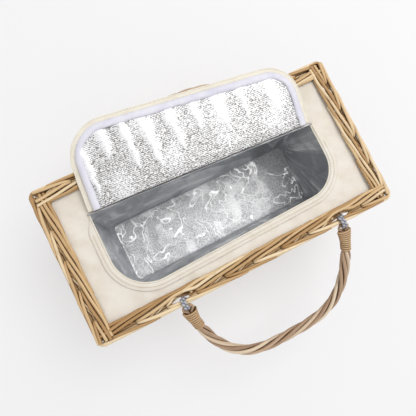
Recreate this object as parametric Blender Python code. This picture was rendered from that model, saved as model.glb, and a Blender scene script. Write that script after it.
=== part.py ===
"""A rectangular willow basket with a zipped, foil-lined cool bag and two swinging handles.

The origin is the centre of the base's underside. +X runs along the length, +Y to the back,
where the lid is hinged, and +Z up. The lid lies open over the back, as it rests in the photo.
"""

import math

import bmesh
import bpy
from mathutils import Matrix, Vector

# Sizes are in metres and angles in degrees.
RIM_LENGTH = 0.450
RIM_WIDTH = 0.224
HEIGHT = 0.205
TAPER = 0.022
GAP = 0.0003

# The border: two twisted ropes of willow with a single rod lying between them.
ROD_RADIUS = 0.0020
ROPE_WAIST = 0.0012
ROPE_PITCH = 0.088
ROPE_STEPS = 8
ROPE_SPACING = 0.0156
CORNER_CHAMFER = 0.006

# The walls: one long band woven to and fro over and under upright stakes. The stakes rise
# from a foot rod and end in the rod that lies in the middle of the border.
FOOT_ROD_RADIUS = 0.0036
STAKE_RADIUS = 0.0024
STAKE_PITCH = 0.044
POST_RADIUS = 0.0045
POST_CLEARANCE = 0.0012
BAND_THICKNESS = 0.0025
COURSES = 12
RING_NOTCH_DEPTH = 0.0083
TURN_LENGTH = 0.006
BACK_STAKE_SHIFT = 0.012
SHORT_STAKE_PITCH = 0.041
STAKE_FROM_POST = 0.022

# The base: long sticks with bands woven across them.
BASE_STICK_RADIUS = 0.004
BASE_STICKS = 5
BASE_STICK_MARGIN = 0.0153
BASE_BAND_PITCH = 0.0246
BASE_BAND_GAP = 0.0006
BASE_FLAT_HALF = 0.0035

# The rings: two turns of cord round the outer rope and through a handle's eye.
RING_SPACING = 0.243
FRONT_HANDLE_X = 0.020
BACK_HANDLE_X = -0.010
RING_CORD_RADIUS = 0.0015
RING_RADIUS = 0.0082
RING_OFFSET = 0.00215
RING_PITCH = 0.0035
RING_TURNS = 2
RING_SLOT_HALF = 0.0065

# The handles: willow rods twisted into a bow, each end bent into a bound eye.
EYE_ROD_RADIUS = 0.0018
EYE_BEND_RADIUS = 0.007
EYE_NECK_HALF = 0.0021
EYE_NECK_START = 0.0195
BINDING_START = 0.022
BINDING_END = 0.050
BINDING_CANE_RADIUS = 0.0014
BINDING_RADIUS = 0.0062
BINDING_TURNS = 8
LEG_END = 0.0357
BOW_START = 0.036
BOW_END_RADIUS = 0.0042
BOW_CREST = 0.0077
BOW_VALLEY = 0.0058
BOW_RODS = 4
BOW_TWIST_PITCH = 0.075
BOW_STEP = 0.0050
ARCH_START = 0.016
ARCH_HEIGHT = 0.132
ARCH_SIDE_POWER = 3.4
ARCH_TOP_POWER = 1.7
FRONT_HANDLE_DROP = 32.0
BACK_HANDLE_DROP = 56.0

# The canvas top, its opening and the lid. The opening's corners are those of its straight
# edges before the two front corners are rounded; its hinge edge runs slightly askew. Each
# margin is the width of top and border that is left beside a corner.
CANVAS = 0.002
LEFT_MARGIN_BACK = 0.059
LEFT_MARGIN_FRONT = 0.058
RIGHT_MARGIN = 0.056
BACK_MARGIN_LEFT = 0.060
BACK_MARGIN_RIGHT = 0.079
FRONT_MARGIN_LEFT = 0.041
FRONT_MARGIN_RIGHT = 0.050
FRONT_RIGHT_ROUND = 0.048
FRONT_LEFT_ROUND = 0.054
ROUND_STEPS = 6
EDGE_TAPE_WIDTH = 0.010
EDGE_TAPE_THICKNESS = 0.001
ZIP_COIL_RADIUS = 0.001
ZIP_TAPE_WIDTH = 0.006
HINGE_ROLL_RADIUS = 0.0015
LID_OPEN_ANGLE = 171.0
LID_CANVAS = 0.0012
LID_FOAM = 0.005
FOIL = 0.0008
LID_BINDING_WIDTH = 0.009
LID_BINDING_THICKNESS = 0.001
SLIDER_FROM_HINGE_END = 0.016
SLIDER_BEHIND_HINGE = 0.012
SLIDER_SIZE = (0.008, 0.011, 0.0028)
PULL_SIZE = (0.005, 0.018, 0.001)

# The cool bag: canvas outside, foam in the middle and foil inside, tapering to its floor.
BAG_SHEET = 0.001
BAG_FOAM = 0.005
BAG_FLOOR_MARGIN = (0.057, 0.060)
BAG_FLOOR_CENTRE = (0.006, -0.008)

# How finely the round forms are drawn.
ARCH_STEPS = 96
RING_STEPS = 16
EYE_STEPS = 10
BINDING_STEPS = 8
ROD_SIDES = 8
THIN_ROD_SIDES = 6
CANE_SIDES = 5
COIL_SIDES = 5
ROLL_SIDES = 10
# A middle line's direction is taken this far to either side of a point.
DIRECTION_REACH = 0.004
# A rope's section: its shoulders as shares of the rope's and of a rod's radius.
ROPE_SHOULDER = (0.62, 0.97)
# A notch's sloping ends run this share of its depth along the wall.
NOTCH_SLOPE = 0.125

# Heights and positions that follow from the sizes above.
ROPE_HELIX = ROD_RADIUS + GAP / 2
ROPE_RADIUS = ROPE_HELIX + ROD_RADIUS
ROPE_Z = HEIGHT - ROPE_RADIUS
OUTER_X = RIM_LENGTH / 2 - ROPE_RADIUS
OUTER_Y = RIM_WIDTH / 2 - ROPE_RADIUS
WALL_X = OUTER_X - ROPE_SPACING / 2
WALL_Y = OUTER_Y - ROPE_SPACING / 2
INNER_X = OUTER_X - ROPE_SPACING
INNER_Y = OUTER_Y - ROPE_SPACING
FILLER_RADIUS = ROPE_SPACING / 2 - ROPE_RADIUS - GAP
WALL_TOP = ROPE_Z - FILLER_RADIUS - GAP
FOOT_ROD_Z = FOOT_ROD_RADIUS * math.cos(math.pi / ROD_SIDES)
WEAVE_FOOT = FOOT_ROD_Z + FOOT_ROD_RADIUS + GAP
BAND_SWING = STAKE_RADIUS + GAP + BAND_THICKNESS / 2
WALL_HALF_THICKNESS = BAND_SWING + BAND_THICKNESS / 2
BASE_SWING = BASE_STICK_RADIUS + GAP + BAND_THICKNESS / 2
BASE_MID = BASE_SWING + BAND_THICKNESS / 2
BASE_TOP = 2 * BASE_MID
PANEL_TOP = ROPE_Z - ROPE_RADIUS - GAP
PANEL_UNDER = PANEL_TOP - CANVAS
HINGE_Z = PANEL_TOP + GAP + HINGE_ROLL_RADIUS
HINGE_LEFT = (LEFT_MARGIN_BACK - RIM_LENGTH / 2, RIM_WIDTH / 2 - BACK_MARGIN_LEFT)
HINGE_RIGHT = (RIM_LENGTH / 2 - RIGHT_MARGIN, RIM_WIDTH / 2 - BACK_MARGIN_RIGHT)
FRONT_RIGHT = (RIM_LENGTH / 2 - RIGHT_MARGIN, FRONT_MARGIN_RIGHT - RIM_WIDTH / 2)
FRONT_LEFT = (LEFT_MARGIN_FRONT - RIM_LENGTH / 2, FRONT_MARGIN_LEFT - RIM_WIDTH / 2)
SLIDER_X = HINGE_LEFT[0] + SLIDER_FROM_HINGE_END
BAG_FLOOR_HALF = (RIM_LENGTH / 2 - BAG_FLOOR_MARGIN[0], RIM_WIDTH / 2 - BAG_FLOOR_MARGIN[1])
LID_INSET = GAP + 4 * ZIP_COIL_RADIUS + 3 * GAP + ZIP_TAPE_WIDTH
LID_HINGE_INSET = HINGE_ROLL_RADIUS + GAP

WILLOW = ((0.58, 0.37, 0.18), 0.55, 0.0)
WILLOW_DARK = ((0.47, 0.28, 0.13), 0.6, 0.0)
HANDLE_WILLOW = ((0.48, 0.33, 0.21), 0.6, 0.0)
CANE = ((0.56, 0.37, 0.19), 0.5, 0.0)
RING_GREY = ((0.38, 0.38, 0.42), 0.45, 0.2)
CREAM = ((0.84, 0.79, 0.71), 0.9, 0.0)
PALE_TAPE = ((0.80, 0.78, 0.86), 0.8, 0.0)
ZIP_CREAM = ((0.86, 0.83, 0.76), 0.6, 0.0)
SILVER = ((0.62, 0.63, 0.65), 0.3, 0.9)
FOAM_WHITE = ((0.85, 0.85, 0.84), 0.9, 0.0)
SLIDER_METAL = ((0.65, 0.64, 0.62), 0.35, 1.0)


# Materials and objects


def material(name, look):
    """A Principled material with the given colour, roughness and metallic value."""
    colour, roughness, metallic = look
    made = bpy.data.materials.new(name)
    made.use_nodes = True
    made.diffuse_color = (*colour, 1.0)
    shader = made.node_tree.nodes["Principled BSDF"]
    shader.inputs["Base Color"].default_value = (*colour, 1.0)
    shader.inputs["Roughness"].default_value = roughness
    shader.inputs["Metallic"].default_value = metallic
    return made


def pivot(name, place):
    """An empty on a joint's axis; the pieces that turn with the joint are its children."""
    empty = bpy.data.objects.new(name, None)
    empty.empty_display_size = 0.02
    empty.matrix_world = place
    bpy.context.scene.collection.objects.link(empty)
    return empty


def add_object(name, solids, look, smooth=False, parent=None):
    """One named object from closed bodies, each a list of points and a list of faces."""
    mesh = bmesh.new()
    for points, faces in solids:
        corners = [mesh.verts.new(point) for point in points]
        for face in faces:
            mesh.faces.new([corners[index] for index in face])
    bmesh.ops.recalc_face_normals(mesh, faces=mesh.faces)
    for face in mesh.faces:
        face.smooth = smooth and len(face.verts) <= 4
    data = bpy.data.meshes.new(name)
    mesh.to_mesh(data)
    mesh.free()
    data.materials.append(material(name, look))
    made = bpy.data.objects.new(name, data)
    bpy.context.scene.collection.objects.link(made)
    if parent:
        made.parent = parent
    return made


# Swept shapes


def round_section(radius, sides):
    """A regular section whose corners lie on the given radius."""
    angles = [2 * math.pi * (i + 0.5) / sides for i in range(sides)]
    return [(radius * math.cos(angle), radius * math.sin(angle)) for angle in angles]


def flat_section(height, thickness):
    """A rectangular section, its height along the sweep's up direction."""
    high, deep = height / 2, thickness / 2
    return [(-high, -deep), (high, -deep), (high, deep), (-high, deep)]


def loft(rings):
    """The faces that join rings of equal length into a capped tube."""
    count, sides = len(rings), len(rings[0])
    points = [point for ring in rings for point in ring]
    faces = []
    for i in range(count - 1):
        near, far = i * sides, (i + 1) * sides
        for j in range(sides):
            k = (j + 1) % sides
            faces.append((near + j, near + k, far + k, far + j))
    faces.append(tuple(range(sides)))
    faces.append(tuple(range((count - 1) * sides, count * sides)))
    return points, faces


def sweep_rings(path, sections, up):
    """Each point's section, its first coordinate as near to up as it can be."""
    rings = []
    for i, (point, section) in enumerate(zip(path, sections)):
        tangent = (path[min(i + 1, len(path) - 1)] - path[max(i - 1, 0)]).normalized()
        side = tangent.cross(up).normalized()
        top = side.cross(tangent)
        rings.append([point + top * a + side * b for a, b in section])
    return rings


def sweep(path, section, up):
    """One section carried along a path."""
    return loft(sweep_rings(path, [section] * len(path), up))


def turned(section, angle):
    """A section turned about its middle."""
    c, s = math.cos(angle), math.sin(angle)
    return [(a * c - b * s, a * s + b * c) for a, b in section]


def box(low, high):
    """A box between two opposite corners."""
    rings = []
    for x in (low[0], high[0]):
        rings.append(
            [
                Vector((x, low[1], low[2])),
                Vector((x, high[1], low[2])),
                Vector((x, high[1], high[2])),
                Vector((x, low[1], high[2])),
            ]
        )
    return loft(rings)


def twisted_rope(start, end, phase=0.0):
    """Two rods twisted round each other along a straight line, touching all the way."""
    length = (end - start).length
    steps = round(length / ROPE_PITCH * ROPE_STEPS)
    shoulder = (ROPE_RADIUS * ROPE_SHOULDER[0], ROD_RADIUS * ROPE_SHOULDER[1])
    quarter = [(ROPE_RADIUS, 0.0), shoulder, (0.0, ROPE_WAIST), (-shoulder[0], shoulder[1])]
    section = quarter + [(-a, -b) for a, b in quarter]
    path, sections = [], []
    for i in range(steps + 1):
        path.append(start.lerp(end, i / steps))
        sections.append(turned(section, 2 * math.pi * length * i / steps / ROPE_PITCH + phase))
    return loft(sweep_rings(path, sections, Vector((0, 0, 1))))


def least_coil_gap(path, steps_per_turn, cord_radius):
    """The least gap between a coil's turns, measured between points of its centre line."""
    apart = steps_per_turn // 2
    least = min(
        (path[i] - path[j]).length
        for i in range(len(path))
        for j in range(i + apart, len(path))
    )
    return least - 2 * cord_radius


# Walls


def wall_offset(z):
    """How much further in the walls' middle planes lie at a height than at the top."""
    return TAPER * (WALL_TOP - z) / WALL_TOP


class Wall:
    """One leaning wall; u runs along it at the top, w outward from its middle plane."""

    def __init__(self, turn, half_length, distance, stakes):
        self.turn = Matrix.Rotation(math.radians(turn), 3, "Z")
        self.half_length = half_length
        self.distance = distance
        self.stakes = stakes

    def point(self, u, z, w=0.0):
        lean = math.atan2(TAPER, WALL_TOP)
        narrowed = (self.half_length - wall_offset(z)) / self.half_length
        y = -(self.distance - wall_offset(z)) - w * math.cos(lean)
        return self.turn @ Vector((u * narrowed, y, z - w * math.sin(lean)))

    def end(self, z):
        """How far along the wall a band may run before it meets the corner post."""
        narrowed = (self.half_length - wall_offset(z)) / self.half_length
        return self.half_length - (POST_RADIUS + POST_CLEARANCE) / narrowed


def spaced(room, pitch, shift=0.0):
    """As many evenly spaced positions as fit in the room to each side of the middle."""
    count = 1 + math.floor(2 * room / pitch)
    return [(i - (count - 1) / 2) * pitch + shift for i in range(count)]


LONG_ROOM = WALL_X - STAKE_FROM_POST - BACK_STAKE_SHIFT
SHORT_ROOM = WALL_Y - STAKE_FROM_POST
WALLS = {
    "front": Wall(0, WALL_X, WALL_Y, spaced(LONG_ROOM, STAKE_PITCH)),
    "right": Wall(90, WALL_Y, WALL_X, spaced(SHORT_ROOM, SHORT_STAKE_PITCH)),
    "back": Wall(180, WALL_X, WALL_Y, spaced(LONG_ROOM, STAKE_PITCH, -BACK_STAKE_SHIFT)),
    "left": Wall(270, WALL_Y, WALL_X, spaced(SHORT_ROOM, SHORT_STAKE_PITCH)),
}


def ring_places(side):
    """Where the rings sit along a wall, in the wall's own u."""
    if side == "front":
        return [FRONT_HANDLE_X - RING_SPACING / 2, FRONT_HANDLE_X + RING_SPACING / 2]
    if side == "back":
        return [-BACK_HANDLE_X - RING_SPACING / 2, -BACK_HANDLE_X + RING_SPACING / 2]
    return []


def stretches(half, places):
    """The lengths of a wall that are left between slots at the given places."""
    edges = [-half]
    for place in sorted(places):
        edges += [place - RING_SLOT_HALF, place + RING_SLOT_HALF]
    edges.append(half)
    return list(zip(edges[0::2], edges[1::2]))


def course_route(wall, parity, end):
    """A course's (u, w) points: over one stake, under the next, straight at its two ends."""
    route = [(-end, 0.0), (-end + TURN_LENGTH, 0.0)]
    for i, u in enumerate(wall.stakes):
        route.append((u, BAND_SWING if (i + parity) % 2 else -BAND_SWING))
    route += [(end - TURN_LENGTH, 0.0), (end, 0.0)]
    return route


def swing_at(route, u):
    """How far out a route lies at a place along the wall."""
    for (u0, w0), (u1, w1) in zip(route, route[1:]):
        if u0 <= u <= u1:
            return w0 + (w1 - w0) * (u - u0) / (u1 - u0)
    return 0.0


def notched(route, places):
    """A route with its top edge cut down at each ring, as (u, w, cut) points."""
    stations = [(u, w, 0.0) for u, w in route]
    slope = RING_NOTCH_DEPTH * NOTCH_SLOPE
    for place in places:
        for u, cut in (
            (place - RING_SLOT_HALF - slope, 0.0),
            (place - RING_SLOT_HALF, RING_NOTCH_DEPTH),
            (place + RING_SLOT_HALF, RING_NOTCH_DEPTH),
            (place + RING_SLOT_HALF + slope, 0.0),
        ):
            stations.append((u, swing_at(route, u), cut))
    return sorted(stations)


def woven(courses):
    """One body from courses of four-cornered rings, joined at alternate ends where it turns."""
    top_side, bottom_side = 1, 3
    points, faces, starts = [], [], []
    for rings in courses:
        starts.append(len(points))
        points += [point for ring in rings for point in ring]
    for c, rings in enumerate(courses):
        last = len(rings) - 2
        turns_right = c % 2 == 0
        left_open = set()
        if c + 1 < len(courses):
            left_open.add((last if turns_right else 0, top_side))
        if c > 0:
            left_open.add((0 if turns_right else last, bottom_side))
        for i in range(last + 1):
            near, far = starts[c] + 4 * i, starts[c] + 4 * i + 4
            for j in range(4):
                k = (j + 1) % 4
                if (i, j) not in left_open:
                    faces.append((near + j, near + k, far + k, far + j))
        faces.append(tuple(starts[c] + j for j in range(4)))
        faces.append(tuple(starts[c] + 4 * (last + 1) + j for j in range(4)))
        if c + 1 < len(courses):
            here = starts[c] + 4 * (last if turns_right else 0)
            there = starts[c + 1] + 4 * (len(courses[c + 1]) - 2 if turns_right else 0)
            below = (here + 1, here + 2, here + 6, here + 5)
            above = (there, there + 3, there + 7, there + 4)
            for j in range(4):
                k = (j + 1) % 4
                faces.append((below[j], below[k], above[k], above[j]))
    return points, faces


def wall_weave(wall, places):
    """A wall's band, woven to and fro from the foot to the border and notched for the rings."""
    step = (WALL_TOP - WEAVE_FOOT) / COURSES
    deep = BAND_THICKNESS / 2
    courses = []
    for c in range(COURSES):
        z = WEAVE_FOOT + (c + 0.5) * step
        half = (step - GAP) / 2
        route = course_route(wall, c, wall.end(z))
        slots = places if c == COURSES - 1 else ()
        path, sections = [], []
        for u, w, cut in notched(route, slots):
            path.append(wall.point(u, z, w))
            sections.append([(-half, -deep), (half - cut, -deep), (half - cut, deep), (-half, deep)])
        up = (wall.point(0, WALL_TOP) - wall.point(0, WEAVE_FOOT)).normalized()
        courses.append(sweep_rings(path, sections, up))
    return woven(courses)


def join(target, name, solids):
    """Joins further closed bodies, which cross the target, to it as one solid."""
    tool = add_object(name, solids, WILLOW_DARK)
    tool.hide_render = True
    tool.display_type = "WIRE"
    union = target.modifiers.new(name, "BOOLEAN")
    union.operation = "UNION"
    union.solver = "EXACT"
    union.object = tool


def side_frame(side, wall):
    """A wall's foot rod, its stakes, the middle rod of the border and, at the ends, the posts."""
    is_end = side in ("left", "right")
    up = Vector((0, 0, 1))
    foot_end = wall.half_length if is_end else wall.end(FOOT_ROD_Z)
    path = [wall.point(u, FOOT_ROD_Z) for u in (-foot_end, foot_end)]
    foot = sweep(path, round_section(FOOT_ROD_RADIUS, ROD_SIDES), up)
    frame = add_object(f"side_frame_{side}", [foot], WILLOW_DARK)
    stakes = []
    for u in wall.stakes:
        path = [wall.point(u, FOOT_ROD_Z), wall.point(u, ROPE_Z)]
        stakes.append(sweep(path, round_section(STAKE_RADIUS, THIN_ROD_SIDES), Vector((0, 1, 0))))
    join(frame, f"stakes_{side}_tool", stakes)
    reach = INNER_Y - ROPE_RADIUS - GAP if is_end else OUTER_X - ROPE_RADIUS - GAP
    rods = []
    for low, high in stretches(reach, ring_places(side)):
        path = [wall.turn @ Vector((u, -wall.distance, ROPE_Z)) for u in (low, high)]
        rods.append(sweep(path, round_section(FILLER_RADIUS, ROD_SIDES), up))
    join(frame, f"border_rod_{side}_tool", rods)
    if is_end:
        posts = []
        for u in (-wall.half_length, wall.half_length):
            path = [wall.point(u, FOOT_ROD_Z / 2), wall.point(u, WALL_TOP)]
            posts.append(sweep(path, round_section(POST_RADIUS, ROD_SIDES), Vector((0, 1, 0))))
        join(frame, f"posts_{side}_tool", posts)


def build_walls():
    for side, wall in WALLS.items():
        add_object(f"wall_weave_{side}", [wall_weave(wall, ring_places(side))], WILLOW)
        side_frame(side, wall)


# Base


def build_base():
    inner = wall_offset(BASE_MID) + WALL_HALF_THICKNESS + GAP
    half_length, half_width = WALL_X - inner, WALL_Y - inner
    reach = half_width - BASE_STICK_MARGIN
    rows = [2 * reach * i / (BASE_STICKS - 1) - reach for i in range(BASE_STICKS)]
    for row, y in enumerate(rows):
        path = [Vector((-half_length, y, BASE_MID)), Vector((half_length, y, BASE_MID))]
        stick = sweep(path, round_section(BASE_STICK_RADIUS, ROD_SIDES), Vector((0, 0, 1)))
        add_object(f"base_stick_{row + 1}", [stick], WILLOW_DARK, smooth=True)
    section = flat_section(BASE_BAND_PITCH - BASE_BAND_GAP, BAND_THICKNESS)
    courses = []
    for band, x in enumerate(spaced(half_length - BASE_BAND_PITCH / 2, BASE_BAND_PITCH)):
        route = [(-half_width, 0.0), (-half_width + TURN_LENGTH, 0.0)]
        for row, y in enumerate(rows):
            swing = BASE_SWING if (band + row) % 2 == 0 else -BASE_SWING
            route += [(y - BASE_FLAT_HALF, swing), (y + BASE_FLAT_HALF, swing)]
        route += [(half_width - TURN_LENGTH, 0.0), (half_width, 0.0)]
        path = [Vector((x, y, BASE_MID + swing)) for y, swing in route]
        courses.append(sweep_rings(path, [section] * len(path), Vector((1, 0, 0))))
    add_object("base_weave", [woven(courses)], WILLOW)


# Border


def build_border():
    end_x = OUTER_X - ROPE_RADIUS - GAP
    end_y = OUTER_Y + ROPE_RADIUS - CORNER_CHAMFER
    inner_end_y = INNER_Y - ROPE_RADIUS - GAP
    for name, sign in (("front", -1), ("back", 1)):
        outer = (Vector((-end_x, sign * OUTER_Y, ROPE_Z)), Vector((end_x, sign * OUTER_Y, ROPE_Z)))
        inner = (Vector((-end_x, sign * INNER_Y, ROPE_Z)), Vector((end_x, sign * INNER_Y, ROPE_Z)))
        add_object(f"border_outer_{name}", [twisted_rope(*outer)], WILLOW, smooth=True)
        add_object(f"border_inner_{name}", [twisted_rope(*inner, math.pi / 2)], WILLOW, smooth=True)
    for name, sign in (("left", -1), ("right", 1)):
        outer = (Vector((sign * OUTER_X, -end_y, ROPE_Z)), Vector((sign * OUTER_X, end_y, ROPE_Z)))
        inner = (
            Vector((sign * INNER_X, -inner_end_y, ROPE_Z)),
            Vector((sign * INNER_X, inner_end_y, ROPE_Z)),
        )
        add_object(f"border_outer_{name}", [twisted_rope(*outer)], WILLOW, smooth=True)
        add_object(f"border_inner_{name}", [twisted_rope(*inner, math.pi / 2)], WILLOW, smooth=True)


# Handles


def arch_points():
    """A handle's middle line from one ring's axis to the other, as (across, out) points."""
    half = RING_SPACING / 2
    points = [(-half, 0.0)]
    for i in range(ARCH_STEPS + 1):
        angle = math.pi * i / ARCH_STEPS
        across = -half * math.copysign(abs(math.cos(angle)) ** (2 / ARCH_SIDE_POWER), math.cos(angle))
        out = ARCH_START + ARCH_HEIGHT * max(math.sin(angle), 0.0) ** (2 / ARCH_TOP_POWER)
        points.append((across, out))
    points.append((half, 0.0))
    return [Vector((across, out, 0.0)) for across, out in points]


NORMAL = Vector((0, 0, 1))


class MiddleLine:
    """A polyline that gives the point and the two directions across it at any distance."""

    def __init__(self, points):
        self.points = points
        self.runs = [0.0]
        for near, far in zip(points, points[1:]):
            self.runs.append(self.runs[-1] + (far - near).length)
        self.length = self.runs[-1]

    def at(self, distance):
        for i in range(len(self.points) - 1):
            if distance <= self.runs[i + 1] or i == len(self.points) - 2:
                share = (distance - self.runs[i]) / (self.runs[i + 1] - self.runs[i])
                return self.points[i].lerp(self.points[i + 1], share)

    def direction(self, distance):
        low = max(distance - DIRECTION_REACH, 0.0)
        high = min(distance + DIRECTION_REACH, self.length)
        return (self.at(high) - self.at(low)).normalized()

    def across(self, distance):
        return self.direction(distance).cross(NORMAL)


def binding_path(line, start, end):
    """The cane's helix round a middle line, from one distance along it to another."""
    steps = BINDING_TURNS * BINDING_STEPS
    path = []
    for i in range(steps + 1):
        distance = start + (end - start) * i / steps
        angle = 2 * math.pi * i / BINDING_STEPS
        offset = line.across(distance) * math.cos(angle) + NORMAL * math.sin(angle)
        path.append(line.at(distance) + offset * BINDING_RADIUS)
    return path


def sweep_round_line(path, line, start, end, section):
    """Sweeps a coil's section with its up direction along the line that it goes round."""
    rings = []
    last = len(path) - 1
    for i, point in enumerate(path):
        tangent = (path[min(i + 1, last)] - path[max(i - 1, 0)]).normalized()
        up = line.direction(start + (end - start) * i / last)
        side = tangent.cross(up).normalized()
        top = side.cross(tangent)
        rings.append([point + top * a + side * b for a, b in section])
    return loft(rings)


def handle_eye(line, mirror):
    """A rod bent round the ring, its two legs drawn together under the binding."""
    apex = ROPE_RADIUS + GAP + EYE_ROD_RADIUS
    centre = apex + EYE_BEND_RADIUS
    legs = {-1: [], 1: []}
    for from_end in (EYE_NECK_START, (EYE_NECK_START + LEG_END) / 2, LEG_END):
        distance = from_end if mirror < 0 else line.length - from_end
        across = line.across(distance) * -mirror
        for side, leg in legs.items():
            leg.append(line.at(distance) + across * side * EYE_NECK_HALF)
    middle = Vector((mirror * RING_SPACING / 2, centre, 0))
    bend = []
    for i in range(EYE_STEPS + 1):
        angle = math.pi * i / EYE_STEPS
        bend.append(middle - Vector((math.cos(angle), math.sin(angle), 0)) * EYE_BEND_RADIUS)
    path = legs[-1][::-1] + bend + legs[1]
    return sweep(path, round_section(EYE_ROD_RADIUS, THIN_ROD_SIDES), NORMAL)


def bow_section(share):
    """The outline of the twisted rods, drawn in to the share of its full size that it has left."""
    section = []
    for i in range(2 * BOW_RODS):
        radius = BOW_VALLEY if i % 2 else BOW_CREST
        angle = math.pi * i / BOW_RODS
        section.append((radius * share * math.cos(angle), radius * share * math.sin(angle)))
    return section


def twisted_bow(line):
    """The handle's bow: rods twisted together, drawn in where the bindings hold them."""
    run = line.length - 2 * BOW_START
    steps = round(run / BOW_STEP)
    path, sections = [], []
    for i in range(steps + 1):
        distance = BOW_START + run * i / steps
        from_end = min(distance, line.length - distance)
        drawn = BOW_END_RADIUS / BOW_CREST
        if from_end > BINDING_END:
            drawn = min(1.0, drawn + (from_end - BINDING_END) / (2 * BOW_STEP))
        path.append(line.at(distance))
        sections.append(turned(bow_section(drawn), 2 * math.pi * distance / BOW_TWIST_PITCH))
    return loft(sweep_rings(path, sections, NORMAL))


def ring_path():
    """Two turns whose middle lies a little way out from the rope's axis towards the handle."""
    path = []
    for i in range(RING_TURNS * RING_STEPS + 1):
        angle = 2 * math.pi * i / RING_STEPS - math.pi
        across = RING_PITCH * (i / RING_STEPS - RING_TURNS / 2)
        out = RING_OFFSET + RING_RADIUS * math.cos(angle)
        path.append(Vector((across, out, RING_RADIUS * math.sin(angle))))
    gap = least_coil_gap(path, RING_STEPS, RING_CORD_RADIUS)
    print(f"ring: least gap between turns {gap * 1000:.2f} mm")
    return path


def build_handle(name, centre_x, sign, drop):
    """A handle with its two rings, modelled flat and hung from the pivot on the outer rope."""
    out = Vector((0, sign * math.cos(math.radians(drop)), -math.sin(math.radians(drop))))
    across = Vector((1, 0, 0))
    place = Matrix((across, out, across.cross(out))).transposed().to_4x4()
    place.translation = Vector((centre_x, sign * OUTER_Y, ROPE_Z))
    hub = pivot(f"{name}_handle_pivot", place)
    line = MiddleLine(arch_points())
    add_object(f"{name}_handle_bow", [twisted_bow(line)], HANDLE_WILLOW, True, hub)
    for end_name, mirror in (("left", -1), ("right", 1)):
        add_object(f"{name}_handle_eye_{end_name}", [handle_eye(line, mirror)], HANDLE_WILLOW, True, hub)
        near, far = BINDING_START, BINDING_END
        if mirror > 0:
            near, far = line.length - BINDING_END, line.length - BINDING_START
        path = binding_path(line, near, far)
        gap = least_coil_gap(path, BINDING_STEPS, BINDING_CANE_RADIUS)
        print(f"{name} {end_name} binding: least gap between turns {gap * 1000:.2f} mm")
        section = round_section(BINDING_CANE_RADIUS, CANE_SIDES)
        coil = sweep_round_line(path, line, near, far, section)
        add_object(f"{name}_handle_binding_{end_name}", [coil], CANE, True, hub)
        shift = Vector((mirror * RING_SPACING / 2, 0, 0))
        path = [point + shift for point in ring_path()]
        ring = sweep(path, round_section(RING_CORD_RADIUS, THIN_ROD_SIDES), Vector((1, 0, 0)))
        add_object(f"{name}_ring_{end_name}", [ring], RING_GREY, True, hub)


# The opening's outline


def cross_point(line_a, line_b):
    """Where two lines meet, each a point and a direction."""
    (point_a, way_a), (point_b, way_b) = line_a, line_b
    between = point_b - point_a
    share = between.cross(way_b) / way_a.cross(way_b)
    return point_a + way_a * share


def rounded(corner, before, after, radius):
    """An arc that replaces a corner between the directions to its two neighbours."""
    to_before, to_after = (before - corner).normalized(), (after - corner).normalized()
    half = to_before.angle(to_after) / 2
    centre = corner + (to_before + to_after).normalized() * radius / math.sin(half)
    start = corner + to_before * radius / math.tan(half) - centre
    sweep_angle = math.pi - 2 * half
    arc = []
    for i in range(ROUND_STEPS + 1):
        angle = sweep_angle * i / ROUND_STEPS
        turned = Matrix.Rotation(angle, 2) @ start
        arc.append(centre + turned)
    return arc


def outline(inset, hinge_inset):
    """The opening's edge moved inward, from the hinge's left end round the front to its right."""
    corners = [Vector(p) for p in (HINGE_LEFT, FRONT_LEFT, FRONT_RIGHT, HINGE_RIGHT)]
    lines = []
    for i, amount in enumerate((inset, inset, inset, hinge_inset)):
        way = (corners[(i + 1) % 4] - corners[i]).normalized()
        inward = Vector((-way.y, way.x))
        lines.append((corners[i] + inward * amount, way))
    hinge_left, front_left, front_right, hinge_right = (
        cross_point(lines[i - 1], lines[i]) for i in range(4)
    )
    return [
        hinge_left,
        *rounded(front_left, hinge_left, front_right, FRONT_LEFT_ROUND - inset),
        *rounded(front_right, front_left, hinge_right, FRONT_RIGHT_ROUND - inset),
        hinge_right,
    ]


def plate(inset, hinge_inset, low, high):
    """A flat plate of the opening's shape."""
    edge = outline(inset, hinge_inset)
    return loft([[Vector((*point, z)) for point in edge] for z in (low, high)])


def edge_strip(profile, hinge_inset):
    """A profile of (inset, height) points carried round the opening's three zipped sides."""
    edges = [(outline(inset, hinge_inset), z) for inset, z in profile]
    count = len(edges[0][0])
    return loft([[Vector((*edge[i], z)) for edge, z in edges] for i in range(count)])


def flat_profile(near, far, low, high):
    return [(near, low), (far, low), (far, high), (near, high)]


def round_profile(inset, z, radius):
    return [(inset + a, z + b) for a, b in round_section(radius, COIL_SIDES)]


# Canvas top and zip


def build_top_panel():
    half_x = WALL_X - WALL_HALF_THICKNESS - GAP
    half_y = WALL_Y - WALL_HALF_THICKNESS - GAP
    rectangle = [(-half_x, -half_y), (half_x, -half_y), (half_x, half_y), (-half_x, half_y)]
    mesh = bmesh.new()
    for loop in (rectangle, outline(0.0, 0.0)):
        corners = [mesh.verts.new((*point, PANEL_UNDER)) for point in loop]
        for i, corner in enumerate(corners):
            mesh.edges.new((corners[i - 1], corner))
    bmesh.ops.triangle_fill(mesh, use_beauty=True, use_dissolve=False, edges=mesh.edges[:])
    lifted = bmesh.ops.extrude_face_region(mesh, geom=mesh.faces[:])["geom"]
    moved = [item for item in lifted if isinstance(item, bmesh.types.BMVert)]
    bmesh.ops.translate(mesh, verts=moved, vec=(0, 0, CANVAS))
    bmesh.ops.recalc_face_normals(mesh, faces=mesh.faces)
    data = bpy.data.meshes.new("canvas_top")
    mesh.to_mesh(data)
    mesh.free()
    data.materials.append(material("canvas_top", CREAM))
    bpy.context.scene.collection.objects.link(bpy.data.objects.new("canvas_top", data))


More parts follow.
